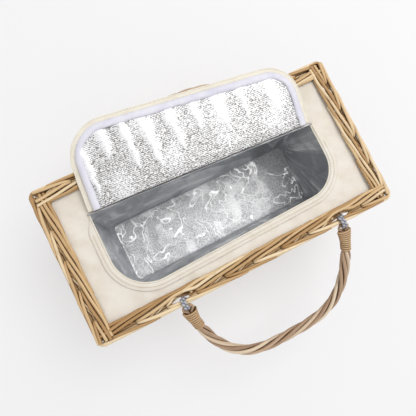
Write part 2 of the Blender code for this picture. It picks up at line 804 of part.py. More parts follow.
def build_body_zip():
    low = PANEL_TOP + GAP
    tape = flat_profile(-EDGE_TAPE_WIDTH, -GAP, low, low + EDGE_TAPE_THICKNESS)
    add_object("opening_edge_tape", [edge_strip(tape, 0.0)], ZIP_CREAM)
    middle = PANEL_TOP - CANVAS / 2
    coil = round_profile(GAP + ZIP_COIL_RADIUS, middle, ZIP_COIL_RADIUS)
    add_object("body_zip_coil", [edge_strip(coil, 2 * HINGE_ROLL_RADIUS)], ZIP_CREAM, True)
    hinge_y = HINGE_LEFT[1] + (SLIDER_X - HINGE_LEFT[0]) * (HINGE_RIGHT[1] - HINGE_LEFT[1]) / (
        HINGE_RIGHT[0] - HINGE_LEFT[0]
    )
    front = hinge_y + SLIDER_BEHIND_HINGE
    wide, long, high = SLIDER_SIZE
    body = box((SLIDER_X - wide / 2, front, low), (SLIDER_X + wide / 2, front + long, low + high))
    wide, long, high = PULL_SIZE
    start = front + SLIDER_SIZE[1] * 0.75
    pull = box((SLIDER_X - wide / 2, start, low), (SLIDER_X + wide / 2, start + long, low + high))
    slider = add_object("zip_slider", [body], SLIDER_METAL)
    join(slider, "zip_pull_tool", [pull])


# Lid


def lid_pivot():
    """The hinge line at the opening's back edge and its turn from closed to open."""
    left, right = Vector(HINGE_LEFT), Vector(HINGE_RIGHT)
    along = (right - left).normalized()
    start = Vector((left.x, left.y, HINGE_Z))
    axis = Vector((along.x, along.y, 0))
    turn = Matrix.Rotation(-math.radians(LID_OPEN_ANGLE), 4, axis)
    place = Matrix.Translation(start) @ turn
    return pivot("lid_pivot", place), start


def build_lid():
    hub, start = lid_pivot()

    def hung(solid):
        points, faces = solid
        return [point - start for point in points], faces

    def lid_object(name, solids, look, smooth=False):
        add_object(name, [hung(solid) for solid in solids], look, smooth, hub)

    canvas_under = PANEL_TOP - LID_CANVAS
    foam_under = canvas_under - GAP - LID_FOAM
    foil_under = foam_under - GAP - FOIL
    canvas = plate(LID_INSET, LID_HINGE_INSET, canvas_under, PANEL_TOP)
    lid_object("lid_canvas", [canvas], CREAM)
    foam = plate(LID_INSET, LID_HINGE_INSET, foam_under, canvas_under - GAP)
    lid_object("lid_foam", [foam], FOAM_WHITE)
    foil = plate(LID_INSET, LID_HINGE_INSET, foil_under, foam_under - GAP)
    lid_object("lid_foil", [foil], SILVER)
    near = LID_INSET - GAP - LID_BINDING_THICKNESS
    far = LID_INSET + LID_BINDING_WIDTH
    step = LID_INSET - GAP
    low = foil_under - GAP - LID_BINDING_THICKNESS
    high = canvas_under - 2 * GAP
    fold = [(near, low), (far, low), (far, foil_under - GAP), (step, foil_under - GAP)]
    fold += [(step, high), (near, high)]
    lid_object("lid_binding", [edge_strip(fold, LID_HINGE_INSET)], PALE_TAPE)
    coil_inset = GAP + 3 * ZIP_COIL_RADIUS + GAP
    middle = PANEL_TOP - CANVAS / 2
    coil = round_profile(coil_inset, middle, ZIP_COIL_RADIUS)
    lid_object("lid_zip_coil", [edge_strip(coil, 2 * HINGE_ROLL_RADIUS)], ZIP_CREAM, True)
    tape_near = coil_inset + ZIP_COIL_RADIUS + GAP
    tape = flat_profile(tape_near, LID_INSET - GAP, canvas_under, PANEL_TOP)
    lid_object("lid_zip_tape", [edge_strip(tape, 2 * HINGE_ROLL_RADIUS)], ZIP_CREAM)
    left, right = (Vector((*point, HINGE_Z)) for point in (HINGE_LEFT, HINGE_RIGHT))
    roll = sweep([left, right], round_section(HINGE_ROLL_RADIUS, ROLL_SIDES), Vector((0, 0, 1)))
    lid_object("lid_hinge_roll", [roll], CREAM, True)


# Cool bag


def bag_rectangle(inset, z):
    """The bag's section at a height, moved in from its outside, as (x, y) corners."""
    bottom, top = BASE_TOP + GAP, PANEL_UNDER - GAP
    share = (z - bottom) / (top - bottom)
    outer = BAG_SHEET + BAG_FOAM + FOIL + 2 * GAP
    reach = WALL_HALF_THICKNESS + 2 * GAP
    tops = (WALL_X - reach, WALL_Y - reach)
    halves = [
        (BAG_FLOOR_HALF[i] + outer) * (1 - share) + tops[i] * share - inset for i in range(2)
    ]
    centre = [BAG_FLOOR_CENTRE[i] * (1 - share) for i in range(2)]
    x0, x1 = centre[0] - halves[0], centre[0] + halves[0]
    y0, y1 = centre[1] - halves[1], centre[1] + halves[1]
    return x0, x1, y0, y1


def rectangle_ring(inset, z):
    x0, x1, y0, y1 = bag_rectangle(inset, z)
    return [Vector((x0, y0, z)), Vector((x1, y0, z)), Vector((x1, y1, z)), Vector((x0, y1, z))]


def open_box(inset, thickness, bottom, top):
    """A tapering box with no top, a given thickness inside its outer faces."""
    rings = [
        rectangle_ring(inset, bottom),
        rectangle_ring(inset, top),
        rectangle_ring(inset + thickness, top),
        rectangle_ring(inset + thickness, bottom + thickness),
    ]
    return loft(rings)


def build_bag():
    bottom, top = BASE_TOP + GAP, PANEL_UNDER - GAP
    add_object("bag_canvas", [open_box(0.0, BAG_SHEET, bottom, top)], CREAM)
    foam_near = BAG_SHEET + GAP
    foam_far = foam_near + BAG_FOAM
    foam_floor = bottom + BAG_SHEET + GAP
    floor = loft([rectangle_ring(foam_near, z) for z in (foam_floor, foam_floor + BAG_FOAM)])
    add_object("foam_floor", [floor], FOAM_WHITE)
    low = foam_floor + BAG_FOAM + GAP
    slabs = {"front": [], "back": [], "left": [], "right": []}
    for z in (low, top):
        x0, x1, y0, y1 = bag_rectangle(foam_near, z)
        a0, a1, b0, b1 = bag_rectangle(foam_far, z)
        slabs["front"].append((x0, x1, y0, b0, z))
        slabs["back"].append((x0, x1, b1, y1, z))
        slabs["left"].append((x0, a0, b0 + GAP, b1 - GAP, z))
        slabs["right"].append((a1, x1, b0 + GAP, b1 - GAP, z))
    for side, levels in slabs.items():
        rings = []
        for left, right, near, far, z in levels:
            corners = [(left, near), (right, near), (right, far), (left, far)]
            rings.append([Vector((x, y, z)) for x, y in corners])
        add_object(f"foam_{side}", [loft(rings)], FOAM_WHITE)
    foil = open_box(foam_far + GAP, FOIL, low, top)
    add_object("bag_foil", [foil], SILVER)


def clear_scene():
    for item in list(bpy.data.objects):
        bpy.data.objects.remove(item, do_unlink=True)


def main():
    clear_scene()
    build_base()
    build_walls()
    build_border()
    build_bag()
    build_top_panel()
    build_body_zip()
    build_lid()
    build_handle("front", FRONT_HANDLE_X, -1, FRONT_HANDLE_DROP)
    build_handle("back", BACK_HANDLE_X, 1, BACK_HANDLE_DROP)
    bpy.context.view_layer.update()


main()
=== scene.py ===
# %% [markdown]
# # A willow basket with a cool bag
# The real object is a small shopping basket: a woven willow body with a rolled border, two
# twisted willow handles that hang in cord rings, and inside it a padded bag with a zipped,
# foil-lined lid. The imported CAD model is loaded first: its bodies carry the pieces made here,
# and its boxes give them their main sizes.

import math
import random

import bmesh
import bpy
from mathutils import Matrix, Vector, noise


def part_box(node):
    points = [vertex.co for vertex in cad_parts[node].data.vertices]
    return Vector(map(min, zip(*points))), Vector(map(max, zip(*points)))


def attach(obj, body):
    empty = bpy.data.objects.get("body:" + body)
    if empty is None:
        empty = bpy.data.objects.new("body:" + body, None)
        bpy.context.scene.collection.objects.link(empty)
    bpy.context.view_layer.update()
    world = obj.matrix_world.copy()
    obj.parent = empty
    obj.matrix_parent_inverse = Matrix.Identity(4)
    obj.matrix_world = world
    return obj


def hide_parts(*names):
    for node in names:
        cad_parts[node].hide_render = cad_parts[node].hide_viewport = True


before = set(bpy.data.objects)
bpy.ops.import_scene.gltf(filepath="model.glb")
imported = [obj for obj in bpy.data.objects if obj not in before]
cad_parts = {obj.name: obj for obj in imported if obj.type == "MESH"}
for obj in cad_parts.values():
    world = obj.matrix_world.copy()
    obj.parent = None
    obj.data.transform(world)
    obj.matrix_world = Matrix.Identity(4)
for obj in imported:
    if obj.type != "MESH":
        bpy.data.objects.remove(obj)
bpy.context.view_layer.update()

# %% [markdown]
# ## The camera
# The photograph looks almost straight down. The lens, the camera's place and its turn were
# worked out from the four corners of the border, so they are simply written down here.

# %% Camera
CAMERA_PLACE = (-0.0833, -0.0423, 0.7387)
CAMERA_TURN = (6.125, -4.668, -26.685)
FOCAL_PIXELS = 400
IMAGE_PIXELS = 416

bpy.ops.object.camera_add(
    location=CAMERA_PLACE, rotation=[math.radians(angle) for angle in CAMERA_TURN]
)
camera = bpy.context.object
camera.data.lens = camera.data.sensor_width * FOCAL_PIXELS / IMAGE_PIXELS
bpy.context.scene.camera = camera
print(f"camera lens {camera.data.lens:.1f} mm")

# %% [markdown]
# ## Colours and nodes
# Colours are written as the hex values that a paint chart gives and turned to linear light
# once. One small function adds a node, sets its values and links what it is given.

# %% Helpers for materials


def linear(colour):
    """A hex colour as linear red, green, blue and alpha."""
    shares = [int(colour[i : i + 2], 16) / 255 for i in (1, 3, 5)]
    lit = [s / 12.92 if s <= 0.04045 else ((s + 0.055) / 1.055) ** 2.4 for s in shares]
    return (*lit, 1.0)


def add_node(tree, kind, values=None, **settings):
    """A node whose inputs are set by name or number, or linked where the value is a socket."""
    made = tree.nodes.new(kind)
    for key, value in settings.items():
        setattr(made, key, value)
    for key, value in (values or {}).items():
        if isinstance(value, bpy.types.NodeSocket):
            tree.links.new(value, made.inputs[key])
        else:
            made.inputs[key].default_value = value
    return made


def new_material(name, roughness, metallic=0.0):
    """A material with only its shader, and that shader's roughness and metallic set."""
    made = bpy.data.materials.new(name)
    made.use_nodes = True
    shader = made.node_tree.nodes["Principled BSDF"]
    shader.inputs["Roughness"].default_value = roughness
    shader.inputs["Metallic"].default_value = metallic
    return made, made.node_tree, shader


def coloured(tree, factor, stops):
    """A colour ramp over a factor, its stops as (position, hex colour)."""
    ramp = add_node(tree, "ShaderNodeValToRGB", {"Fac": factor})
    elements = ramp.color_ramp.elements
    while len(elements) < len(stops):
        elements.new(0.5)
    for element, (position, colour) in zip(elements, stops):
        element.position = position
        element.color = linear(colour)
    return ramp.outputs["Color"]


def blended(tree, factor, one, other, blend_type="MIX"):
    """Two colours mixed by a factor, each a socket or a linear colour."""
    made = add_node(
        tree, "ShaderNodeMix", {0: factor, 6: one, 7: other}, data_type="RGBA", blend_type=blend_type
    )
    return made.outputs[2]


def computed(tree, operation, *values):
    """Arithmetic on numbers or sockets."""
    made = add_node(tree, "ShaderNodeMath", dict(enumerate(values)), operation=operation)
    return made.outputs[0]


def ranged(tree, value, low, high, to_low=0.0, to_high=1.0):
    """A value taken from one range to another, and kept inside it."""
    return add_node(
        tree, "ShaderNodeMapRange",
        {"Value": value, "From Min": low, "From Max": high, "To Min": to_low, "To Max": to_high},
    ).outputs["Result"]


def object_place(tree):
    """Where a point of the surface lies, in metres."""
    return add_node(tree, "ShaderNodeTexCoord").outputs["Object"]


def stored(tree, name):
    """An attribute that was stored with the mesh, as its node's outputs."""
    return add_node(tree, "ShaderNodeAttribute", attribute_name=name).outputs


def noise_at(tree, place, scale, detail, **more):
    """Noise between 0 and 1. More takes its Roughness or its Distortion."""
    values = {"Vector": place, "Scale": scale, "Detail": detail, **more}
    return add_node(tree, "ShaderNodeTexNoise", values).outputs["Fac"]


def painted(tree, shader, colour):
    """Gives the shader its colour from a socket."""
    tree.links.new(colour, shader.inputs["Base Color"])


def bumped(tree, shader, height, depth, strength):
    """Relief of a real depth in metres, from a height between 0 and 1."""
    bump = add_node(
        tree, "ShaderNodeBump", {"Height": height, "Distance": depth, "Strength": strength}
    )
    tree.links.new(bump.outputs["Normal"], shader.inputs["Normal"])


# %% [markdown]
# ## Willow
# Willow rods for baskets are boiled and stripped of their bark, which leaves a smooth, warm
# tan wood with fine lines along the rod, a soft sheen and a few darker patches. Each rod
# carries its own straightened coordinates, so the grain follows it round every bend, and a
# tone of its own, because no two rods are the same colour.

# %% Willow materials
# How far the painted shade between rods reaches, and its deepest colour.
GAP_SHADE_REACH = 0.007
GAP_SHADE_COLOUR = "#57351B"


def willow_material(name, stops, patch_colour, roughness, lit_from=0.56):
    """Stripped willow: grain lines of 1.4 mm and finer, each 80 times as long as it is wide."""
    made, tree, shader = new_material(name, roughness)
    place = stored(tree, "rod")["Vector"]
    stretched = add_node(
        tree, "ShaderNodeMapping", {"Vector": place, "Scale": (2000, 2000, 25)}
    ).outputs["Vector"]
    grain = noise_at(tree, stretched, 0.35, 4.0)
    patches = noise_at(tree, place, 38.0, 3.0)
    shade = computed(tree, "ADD", grain, stored(tree, "tone")["Fac"])
    body = coloured(tree, computed(tree, "MULTIPLY", shade, 0.5), stops)
    patchy = ranged(tree, patches, 0.55, 0.75, 0.0, 0.55)
    stained = blended(tree, patchy, body, linear(patch_colour))
    # Painted shade: rods are painted darker where they lie close together, down to a deep brown in the
    # gaps, as ambient occlusion finds them.
    gap_shade = add_node(
        tree, "ShaderNodeAmbientOcclusion", {"Distance": GAP_SHADE_REACH}, samples=6, only_local=False
    ).outputs["AO"]
    lit = ranged(tree, gap_shade, 0.10, lit_from)
    painted(tree, shader, blended(tree, lit, linear(GAP_SHADE_COLOUR), stained))
    bumped(tree, shader, grain, 0.0004, 0.6)
    return made


WILLOW = willow_material(
    "boiled_willow", ((0.28, "#B08857"), (0.5, "#D7B585"), (0.72, "#EFD9B4")), "#A67D50", 0.5
)
HANDLE_WILLOW = willow_material(
    "weathered_willow", ((0.28, "#92725A"), (0.5, "#C2A486"), (0.72, "#EAD7BC")), "#7E604B", 0.38, 0.80
)
CANE = willow_material(
    "split_cane", ((0.28, "#BB9870"), (0.5, "#DABD94"), (0.72, "#EFDCBA")), "#A5845E", 0.42
)
print("willow materials", WILLOW.name, HANDLE_WILLOW.name, CANE.name)

# %% [markdown]
# ## Rods
# A rod could be a stretched cylinder, but willow bends, so each one is a curve with a round
# bevel: the curve gives the route and every point its own thickness, which lets a rod taper.
# The curve is made a mesh, and the rod's straightened coordinates are stored with it for
# the willow material. Most rods are rounded off at both ends first.

# %% Rods from routes
POINT_RADIUS = 0.00001


def clamped(value):
    """A value kept between 0 and 1."""
    return min(max(value, 0.0), 1.0)


def eased(share):
    """A share between 0 and 1 that starts and ends gently."""
    return share * share * (3 - 2 * share)


def waved(share):
    """A share between 0 and 1 that follows half a cosine wave."""
    return 0.5 - 0.5 * math.cos(math.pi * share)


def run_of(line):
    """The length of a line through points."""
    return sum((b - a).length for a, b in zip(line, line[1:]))


def alone(obj):
    """Leaves only this object selected, and makes it the active one."""
    bpy.ops.object.select_all(action="DESELECT")
    obj.select_set(True)
    bpy.context.view_layer.objects.active = obj


def cleaned(piece, merge=None):
    """Merges doubled points, turns all faces outward and shades them smooth."""
    alone(piece)
    bpy.ops.object.mode_set(mode="EDIT")
    bpy.ops.mesh.select_all(action="SELECT")
    if merge:
        bpy.ops.mesh.remove_doubles(threshold=merge)
    bpy.ops.mesh.normals_make_consistent(inside=False)
    bpy.ops.object.mode_set(mode="OBJECT")
    bpy.ops.object.shade_smooth()


def linked(name, data):
    """A new object in the scene, for a mesh or a curve."""
    made = bpy.data.objects.new(name, data)
    bpy.context.scene.collection.objects.link(made)
    return made


def blunt(route, radius):
    """A route as (point, radius) pairs, rounded off at both ends."""
    ends = []
    for tip, behind in ((route[0], route[1]), (route[-1], route[-2])):
        way = (tip - behind).normalized() * radius
        ends.append([(tip + way * 0.45, radius * 0.7), (tip + way * 0.65, POINT_RADIUS)])
    middle = [(point, radius) for point in route]
    return ends[0][::-1] + middle + ends[1]


def rods(name, routes, material, sides=8, seed=1):
    """One piece made of rods. Each route is a list of points and radii."""
    chance = random.Random(seed)
    # Two points in one place would leave the curve without a direction there.
    routes = [
        route[:1] + [b for a, b in zip(route, route[1:]) if (b[0] - a[0]).length > 1e-6]
        for route in routes
    ]
    curve = bpy.data.curves.new(name, "CURVE")
    curve.dimensions = "3D"
    curve.bevel_depth = 1.0
    curve.bevel_resolution = (sides - 4) // 2
    for route in routes:
        spline = curve.splines.new("POLY")
        spline.points.add(len(route) - 1)
        for target, (point, radius) in zip(spline.points, route):
            target.co = (*point, 1.0)
            target.radius = radius
    alone(linked(name, curve))
    bpy.ops.object.convert(target="MESH")
    piece = bpy.context.object
    straight, tones = [], []
    for route in routes:
        tone, shift, run = chance.random(), chance.uniform(0, 9), 0.0
        for i, (point, radius) in enumerate(route):
            run += (point - route[i - 1][0]).length if i else 0.0
            for k in range(sides):
                angle = 2 * math.pi * k / sides
                straight += (radius * math.cos(angle), radius * math.sin(angle), shift + run)
                tones.append(tone)
    mesh = piece.data
    if len(mesh.vertices) != len(tones):
        raise RuntimeError(f"{name}: {len(mesh.vertices)} vertices, not {len(tones)}")
    mesh.attributes.new("rod", "FLOAT_VECTOR", "POINT").data.foreach_set("vector", straight)
    mesh.attributes.new("tone", "FLOAT", "POINT").data.foreach_set("value", tones)
    cleaned(piece, merge=0.00003)
    mesh.materials.clear()
    mesh.materials.append(material)
    print(f"{name}: {len(routes)} rods, {len(mesh.polygons)} faces")
    return piece


def place_piece(piece, body, slot, *nodes):
    """A piece moves with a CAD body and stands for its nodes. Its slot is not used."""
    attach(piece, body)
    if nodes:
        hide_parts(*nodes)


# %% [markdown]
# ## The walls' own coordinates
# The four walls lean outward. Every piece of willow in them is placed by three numbers: how
# far along the wall it is, how far out from the wall's middle plane, and how high. The sizes
# come from the frame: the border's box gives the rim, and the walls stand under its middle.

# %% Wall coordinates
SIDE_NAMES = ("front", "right", "back", "left")
RIM_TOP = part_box("border_outer_front")[1][2]
RIM_HALF = (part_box("border_outer_right")[1][0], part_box("border_outer_back")[1][1])
ROPE_RADIUS = 0.00415
ROPE_SPACING = 0.0156
WALL_HALF = tuple(half - ROPE_RADIUS - ROPE_SPACING / 2 for half in RIM_HALF)
WALL_TOP = 0.1972
TAPER = 0.022
RING_SPACING = 0.243
HANDLE_X = {"front": 0.020, "back": -0.010}
ROPE_Z = RIM_TOP - ROPE_RADIUS
OUTER_Y = RIM_HALF[1] - ROPE_RADIUS


def wall_point(turn, along, out, z):
    """A point of a wall: 0 is the front, then counterclockwise seen from above."""
    lean = TAPER * max(WALL_TOP - z, 0.0) / WALL_TOP
    across, run = (1, 0) if turn % 2 == 0 else (0, 1)
    reach = WALL_HALF[across] - lean + out
    shrunk = along * (1 - lean / WALL_HALF[run])
    x, y = ((shrunk, -reach), (reach, shrunk), (-shrunk, reach), (-reach, -shrunk))[turn]
    return Vector((x, y, z))


def ring_places(turn):
    """Where the handle rings go round the border of a wall, measured along it."""
    name = SIDE_NAMES[turn]
    if name not in HANDLE_X:
        return []
    sign = 1 if name == "front" else -1
    return sorted(sign * (HANDLE_X[name] + half) for half in (-RING_SPACING / 2, RING_SPACING / 2))


print("rim half sizes", RIM_HALF, "rings on the front", ring_places(0))

# %% [markdown]
# ## Stakes and weave
# A basket maker sets upright stakes in the base and weaves thin rods in front of one stake
# and behind the next, each row the other way round. The rows here do just that. A row goes
# all the way round the basket and outside the thick corner posts. The top rows stop short
# of each handle ring, which needs room to swing.

# %% Stakes
STAKE_RADIUS = 0.0024
POST_RADIUS = 0.0043
STAKE_PITCH = 0.044
SHORT_PITCH = 0.041
BACK_SHIFT = -0.012
FOOT_RADIUS = 0.0034
LONG_STAKES = [STAKE_PITCH * (i - 4) for i in range(9)]
SHORT_STAKES = [SHORT_PITCH * (i - 1.5) for i in range(4)]
STAKES = [LONG_STAKES, SHORT_STAKES, [x + BACK_SHIFT for x in LONG_STAKES], SHORT_STAKES]
STAKE_FOOT = 0.006
STAKE_TOP = 0.1968
# Rows over this height stop at this distance from a ring, on both sides of it.
NOTCH_HALF = 0.0075
NOTCH_Z = 0.1889


def upright(turn, along, radius, top):
    """A stake or post that leans with its wall."""
    heights = [STAKE_FOOT + (top - STAKE_FOOT) * i / 10 for i in range(11)]
    return blunt([wall_point(turn, along, 0.0, z) for z in heights], radius)


def near_ring(turn, along, reach):
    """Whether a place along a wall is nearer to a handle ring than the reach."""
    return any(abs(along - ring) < reach for ring in ring_places(turn))


def corner_arc(turn, z, radius, steps=6):
    """A quarter turn round the post at the end of a wall."""
    half = WALL_HALF[turn % 2]
    post = wall_point(turn, half, 0.0, z)
    start = wall_point(turn, half, radius, z) - post
    return [
        post + Matrix.Rotation(math.pi / 2 * i / steps, 3, "Z") @ start for i in range(1, steps)
    ]


uprights = []
for turn, places in enumerate(STAKES):
    for along in places:
        top = NOTCH_Z - 0.002 if near_ring(turn, along, 0.009) else STAKE_TOP
        uprights.append(upright(turn, along, STAKE_RADIUS, top))
    uprights.append(upright(turn, WALL_HALF[turn % 2], POST_RADIUS, STAKE_TOP - 0.004))
foot = []
for turn in range(4):
    half = WALL_HALF[turn % 2]
    foot += [wall_point(turn, half * share, 0.0, FOOT_RADIUS) for share in (-1, -0.5, 0, 0.5)]
foot.append(foot[0])
uprights.append([(point, FOOT_RADIUS) for point in foot])
stakes = rods("stakes_and_posts", uprights, WILLOW, sides=10, seed=3)
place_piece(
    stakes, "basket", "willow_dark", "side_frame_front", "side_frame_right",
    "side_frame_back", "side_frame_left",
)

# %% Weave
WEAVER_RADIUS = 0.0021
ROW_PITCH = 0.00425
FIRST_ROW = 0.0085
SWING = STAKE_RADIUS + WEAVER_RADIUS - 0.0004
POST_SWING = POST_RADIUS + WEAVER_RADIUS
ROW_STEP = 0.0044


def row_route(turn, parity, z, chance):
    """One row along one wall: outside one stake, inside the next, outside both posts."""
    half = WALL_HALF[turn % 2]
    stops = [(-half, POST_SWING)]
    for i, along in enumerate(STAKES[turn]):
        stops.append((along, SWING if (i + parity) % 2 else -SWING))
    stops.append((half, POST_SWING))
    route = []
    for (start, out_start), (end, out_end) in zip(stops, stops[1:]):
        steps = max(4, round((end - start) / ROW_STEP))
        for i in range(steps):
            share = i / steps
            out = out_start + (out_end - out_start) * waved(share)
            lift = chance.uniform(-0.00012, 0.00012)
            route.append((start + (end - start) * share, out, z + lift))
    return route


def cut_at_rings(turn, route):
    """A row in lengths that stop short of the rings."""
    lengths, current = [], []
    for along, out, z in route:
        if near_ring(turn, along, NOTCH_HALF):
            lengths.append(current)
            current = []
        else:
            current.append((along, out, z))
    lengths.append(current)
    return [length for length in lengths if len(length) > 2]


weave_routes = []
chance = random.Random(11)
row_count = int((WALL_TOP - FIRST_ROW) / ROW_PITCH)
for row in range(row_count):
    z = FIRST_ROW + row * ROW_PITCH
    radius = WEAVER_RADIUS * chance.uniform(0.9, 1.06)
    lengths = [[]]
    for turn in range(4):
        route = row_route(turn, row + turn, z, chance)
        pieces = [route] if z < NOTCH_Z else cut_at_rings(turn, route)
        for i, part in enumerate(pieces):
            if i:
                lengths.append([])
            lengths[-1] += [wall_point(turn, *place) for place in part]
        lengths[-1] += corner_arc(turn, z, POST_SWING)
    if len(lengths) > 1:
        lengths[0] = lengths.pop() + lengths[0]
        weave_routes += [blunt(length, radius) for length in lengths]
    else:
        start = chance.randrange(len(lengths[0]))
        weave_routes.append(blunt(lengths[0][start:] + lengths[0][:start], radius))
weave = rods("wall_weave", weave_routes, WILLOW, sides=6, seed=5)
place_piece(
    weave, "basket", "willow", "wall_weave_front", "wall_weave_right", "wall_weave_back",
    "wall_weave_left",
)

# %% [markdown]
# ## The base
# The base is five long sticks with thin rods woven across them. It stands on the table and
# is only seen when the basket is tipped, but it is woven like the walls.

# %% Base
STICK_RADIUS = 0.0034
STICK_PITCH = 0.029
CROSS_RADIUS = 0.0015
CROSS_PITCH = 0.0037
BASE_MIDDLE = 0.0068
BASE_HALF = tuple(half - TAPER - 0.003 for half in WALL_HALF)

stick_routes = []
for i in range(5):
    y = STICK_PITCH * (i - 2)
    points = [Vector((BASE_HALF[0] * share, y, BASE_MIDDLE)) for share in (-1, -0.5, 0, 0.5, 1)]
    stick_routes.append(blunt(points, STICK_RADIUS))
sticks = rods("base_sticks", stick_routes, WILLOW, sides=10, seed=7)
place_piece(sticks, "basket", "willow_dark", *[f"base_stick_{i}" for i in range(1, 6)])

cross_routes = []
cross_count = int(2 * (BASE_HALF[0] - 0.006) / CROSS_PITCH)
for row in range(cross_count):
    x = CROSS_PITCH * (row - (cross_count - 1) / 2)
    points = []
    for i in range(41):
        y = BASE_HALF[1] * (i / 20 - 1)
        wave = math.cos(math.pi * y / STICK_PITCH) * (1 if row % 2 else -1)
        points.append(Vector((x, y, BASE_MIDDLE + wave * (STICK_RADIUS + CROSS_RADIUS))))
    cross_routes.append(blunt(points, CROSS_RADIUS))
base = rods("base_weave_rods", cross_routes, WILLOW, sides=6, seed=9)
place_piece(base, "basket", "willow", "base_weave")

# %% [markdown]
# ## The border
# At the top each stake is bent over and laid along the rim, behind and then in front of its
# neighbours, so the border is many long rods lying side by side at a slight slant. From a
# small dark hole every 43.5 mm, one rod runs towards the inner edge and one towards the outer,
# and the short ends between them make the little cross bars seen in the holes.

# %% Border
BORDER_PITCH = 0.0435
BORDER_RADIUS = 0.00225
BORDER_STEP = 0.004
# The short cross bars: their radius, the room they need and their distance from a ring.
BIT_RADIUS = 0.00135
BIT_SPAN = 0.044
BIT_CLEAR = 0.024
BIT_INSET = 0.008
# How far the rods run past the posts, and how much lower they lie at a wall's left end.
BORDER_PAST = 0.0085
BORDER_SINK = 0.0040
SINK_START = 0.009
SINK_LENGTH = 0.026
# Where a ring goes round: the rods are held within this radius, over this length each way.
HELD_RADIUS = 0.0021
HELD_REACH = 0.022
HELD_EASE = 0.014
INNER_HELD = -0.0060
# Each run is a rod's way from its hole: distance along, distance out and height.
INNER_RUN = [
    (0.000, 0.0022, 0.1958), (0.010, 0.0012, 0.2018), (0.040, -0.0026, 0.2032),
    (0.096, -0.0096, 0.2026), (0.145, -0.0100, 0.1992),
]
OUTER_RUN = [
    (0.000, 0.0048, 0.1958), (0.010, 0.0054, 0.2010), (0.030, 0.0072, 0.2024),
    (0.060, 0.0100, 0.2006), (0.105, 0.0102, 0.1962),
]
BITS = [
    [(0.010, 0.0072, 0.1965), (0.018, 0.0052, 0.2002), (0.030, 0.0012, 0.2002), (0.037, -0.0016, 0.1962)],
    [(0.018, 0.0078, 0.1955), (0.026, 0.0054, 0.1992), (0.037, 0.0014, 0.1994), (0.044, -0.0010, 0.1955)],
    [(0.001, 0.0060, 0.1945), (0.009, 0.0040, 0.1975), (0.020, 0.0008, 0.1980), (0.027, -0.0016, 0.1945)],
]
CORE_PAST = 0.004
# Rods that lie lengthwise inside the border: distance out, height and radius.
CORE_RODS = [
    (-0.0062, 0.1983, 0.0016), (0.0036, 0.1940, 0.0019), (0.0070, 0.1952, 0.0021),
    (0.0088, 0.1918, 0.0020), (0.0103, 0.1996, 0.0019),
]
# Rod ends round a corner: distance out, height, and their reach along either wall.
CORNER_ENDS = [(0.0098, 0.1995, 0.020, 0.030), (0.0094, 0.1958, 0.030, 0.016)]
CORNER_END_RADIUS = 0.0020
ROPE_OUT = ROPE_SPACING / 2


def run_at(run, distance):
    """The distance out and the height of a run, eased between its places."""
    for (start, out_a, z_a), (end, out_b, z_b) in zip(run, run[1:]):
        if distance <= end:
            share = max(0.0, (distance - start) / (end - start))
            return out_a + (out_b - out_a) * share, z_a + (z_b - z_a) * waved(share)
    return run[-1][1], run[-1][2]


def kept_clear(turn, along, out, z, inner):
    """Rods are squeezed together where a ring goes round them."""
    for ring in ring_places(turn):
        pull = eased(clamped((HELD_REACH - abs(along - ring)) / HELD_EASE))
        if inner:
            out += pull * (min(out, INNER_HELD) - out)
        else:
            off = Vector((out - ROPE_OUT, z - ROPE_Z))
            if off.length > HELD_RADIUS:
                held = off.normalized() * HELD_RADIUS
                out += pull * (held.x + ROPE_OUT - out)
                z += pull * (held.y + ROPE_Z - z)
    return out, z


def border_rod(turn, hole, run, radius, chance, inner):
    """One rod of the border, cut off at the ends of its wall."""
    half = WALL_HALF[turn % 2]
    low, high = -half - BORDER_PAST, half + BORDER_PAST
    shift = chance.uniform(-0.0003, 0.0003)
    route = []
    count = round((run[-1][0] - run[0][0]) / BORDER_STEP)
    for i in range(count + 1):
        distance = run[0][0] + (run[-1][0] - run[0][0]) * i / count
        along = hole + distance
        if along < low or along > high:
            continue
        out, z = run_at(run, distance)
        out, z = kept_clear(turn, along, out + shift, z, inner)
        sink = max(0.0, 1.0 - (along + half + SINK_START) / SINK_LENGTH)
        z -= BORDER_SINK * eased(sink)
        out += 0.0003 * math.sin(along * 130 + hole * 400)
        route.append((along, out, z))
    if len(route) < 4:
        return None
    smooth = []
    for i in range(len(route)):
        window = route[max(0, i - 1) : i + 2]
        smooth.append(tuple(sum(values) / len(window) for values in zip(*window)))
    return blunt([wall_point(turn, *place) for place in smooth], radius)


def border_routes(turn):
    """All the rods of one side's border."""
    chance = random.Random(30 + turn)
    half = WALL_HALF[turn % 2]
    routes = []
    first = STAKES[turn][0] + 0.006 - 4 * BORDER_PITCH
    count = math.ceil((half - first) / BORDER_PITCH) + 1
    for k in range(count):
        hole = first + k * BORDER_PITCH
        for run, inner in ((INNER_RUN, True), (OUTER_RUN, False)):
            radius = BORDER_RADIUS * chance.uniform(0.92, 1.06)
            routes.append(border_rod(turn, hole, run, radius, chance, inner))
        for bit in BITS:
            inside = -half + BIT_INSET < hole and hole + BIT_SPAN < half
            if inside and not near_ring(turn, hole + BIT_SPAN / 2, BIT_CLEAR):
                radius = BIT_RADIUS * chance.uniform(0.9, 1.15)
                routes.append(border_rod(turn, hole, bit, radius, chance, True))
    # Core rods lie lengthwise under the rest, so that no hole goes right through.
    for out, z, radius in CORE_RODS:
        placed = []
        for i in range(61):
            along = -half - CORE_PAST + 2 * (half + CORE_PAST) * i / 60
            placed.append(wall_point(turn, along, *kept_clear(turn, along, out, z, out < 0)))
        routes.append(blunt(placed, radius))
    return [route for route in routes if route]


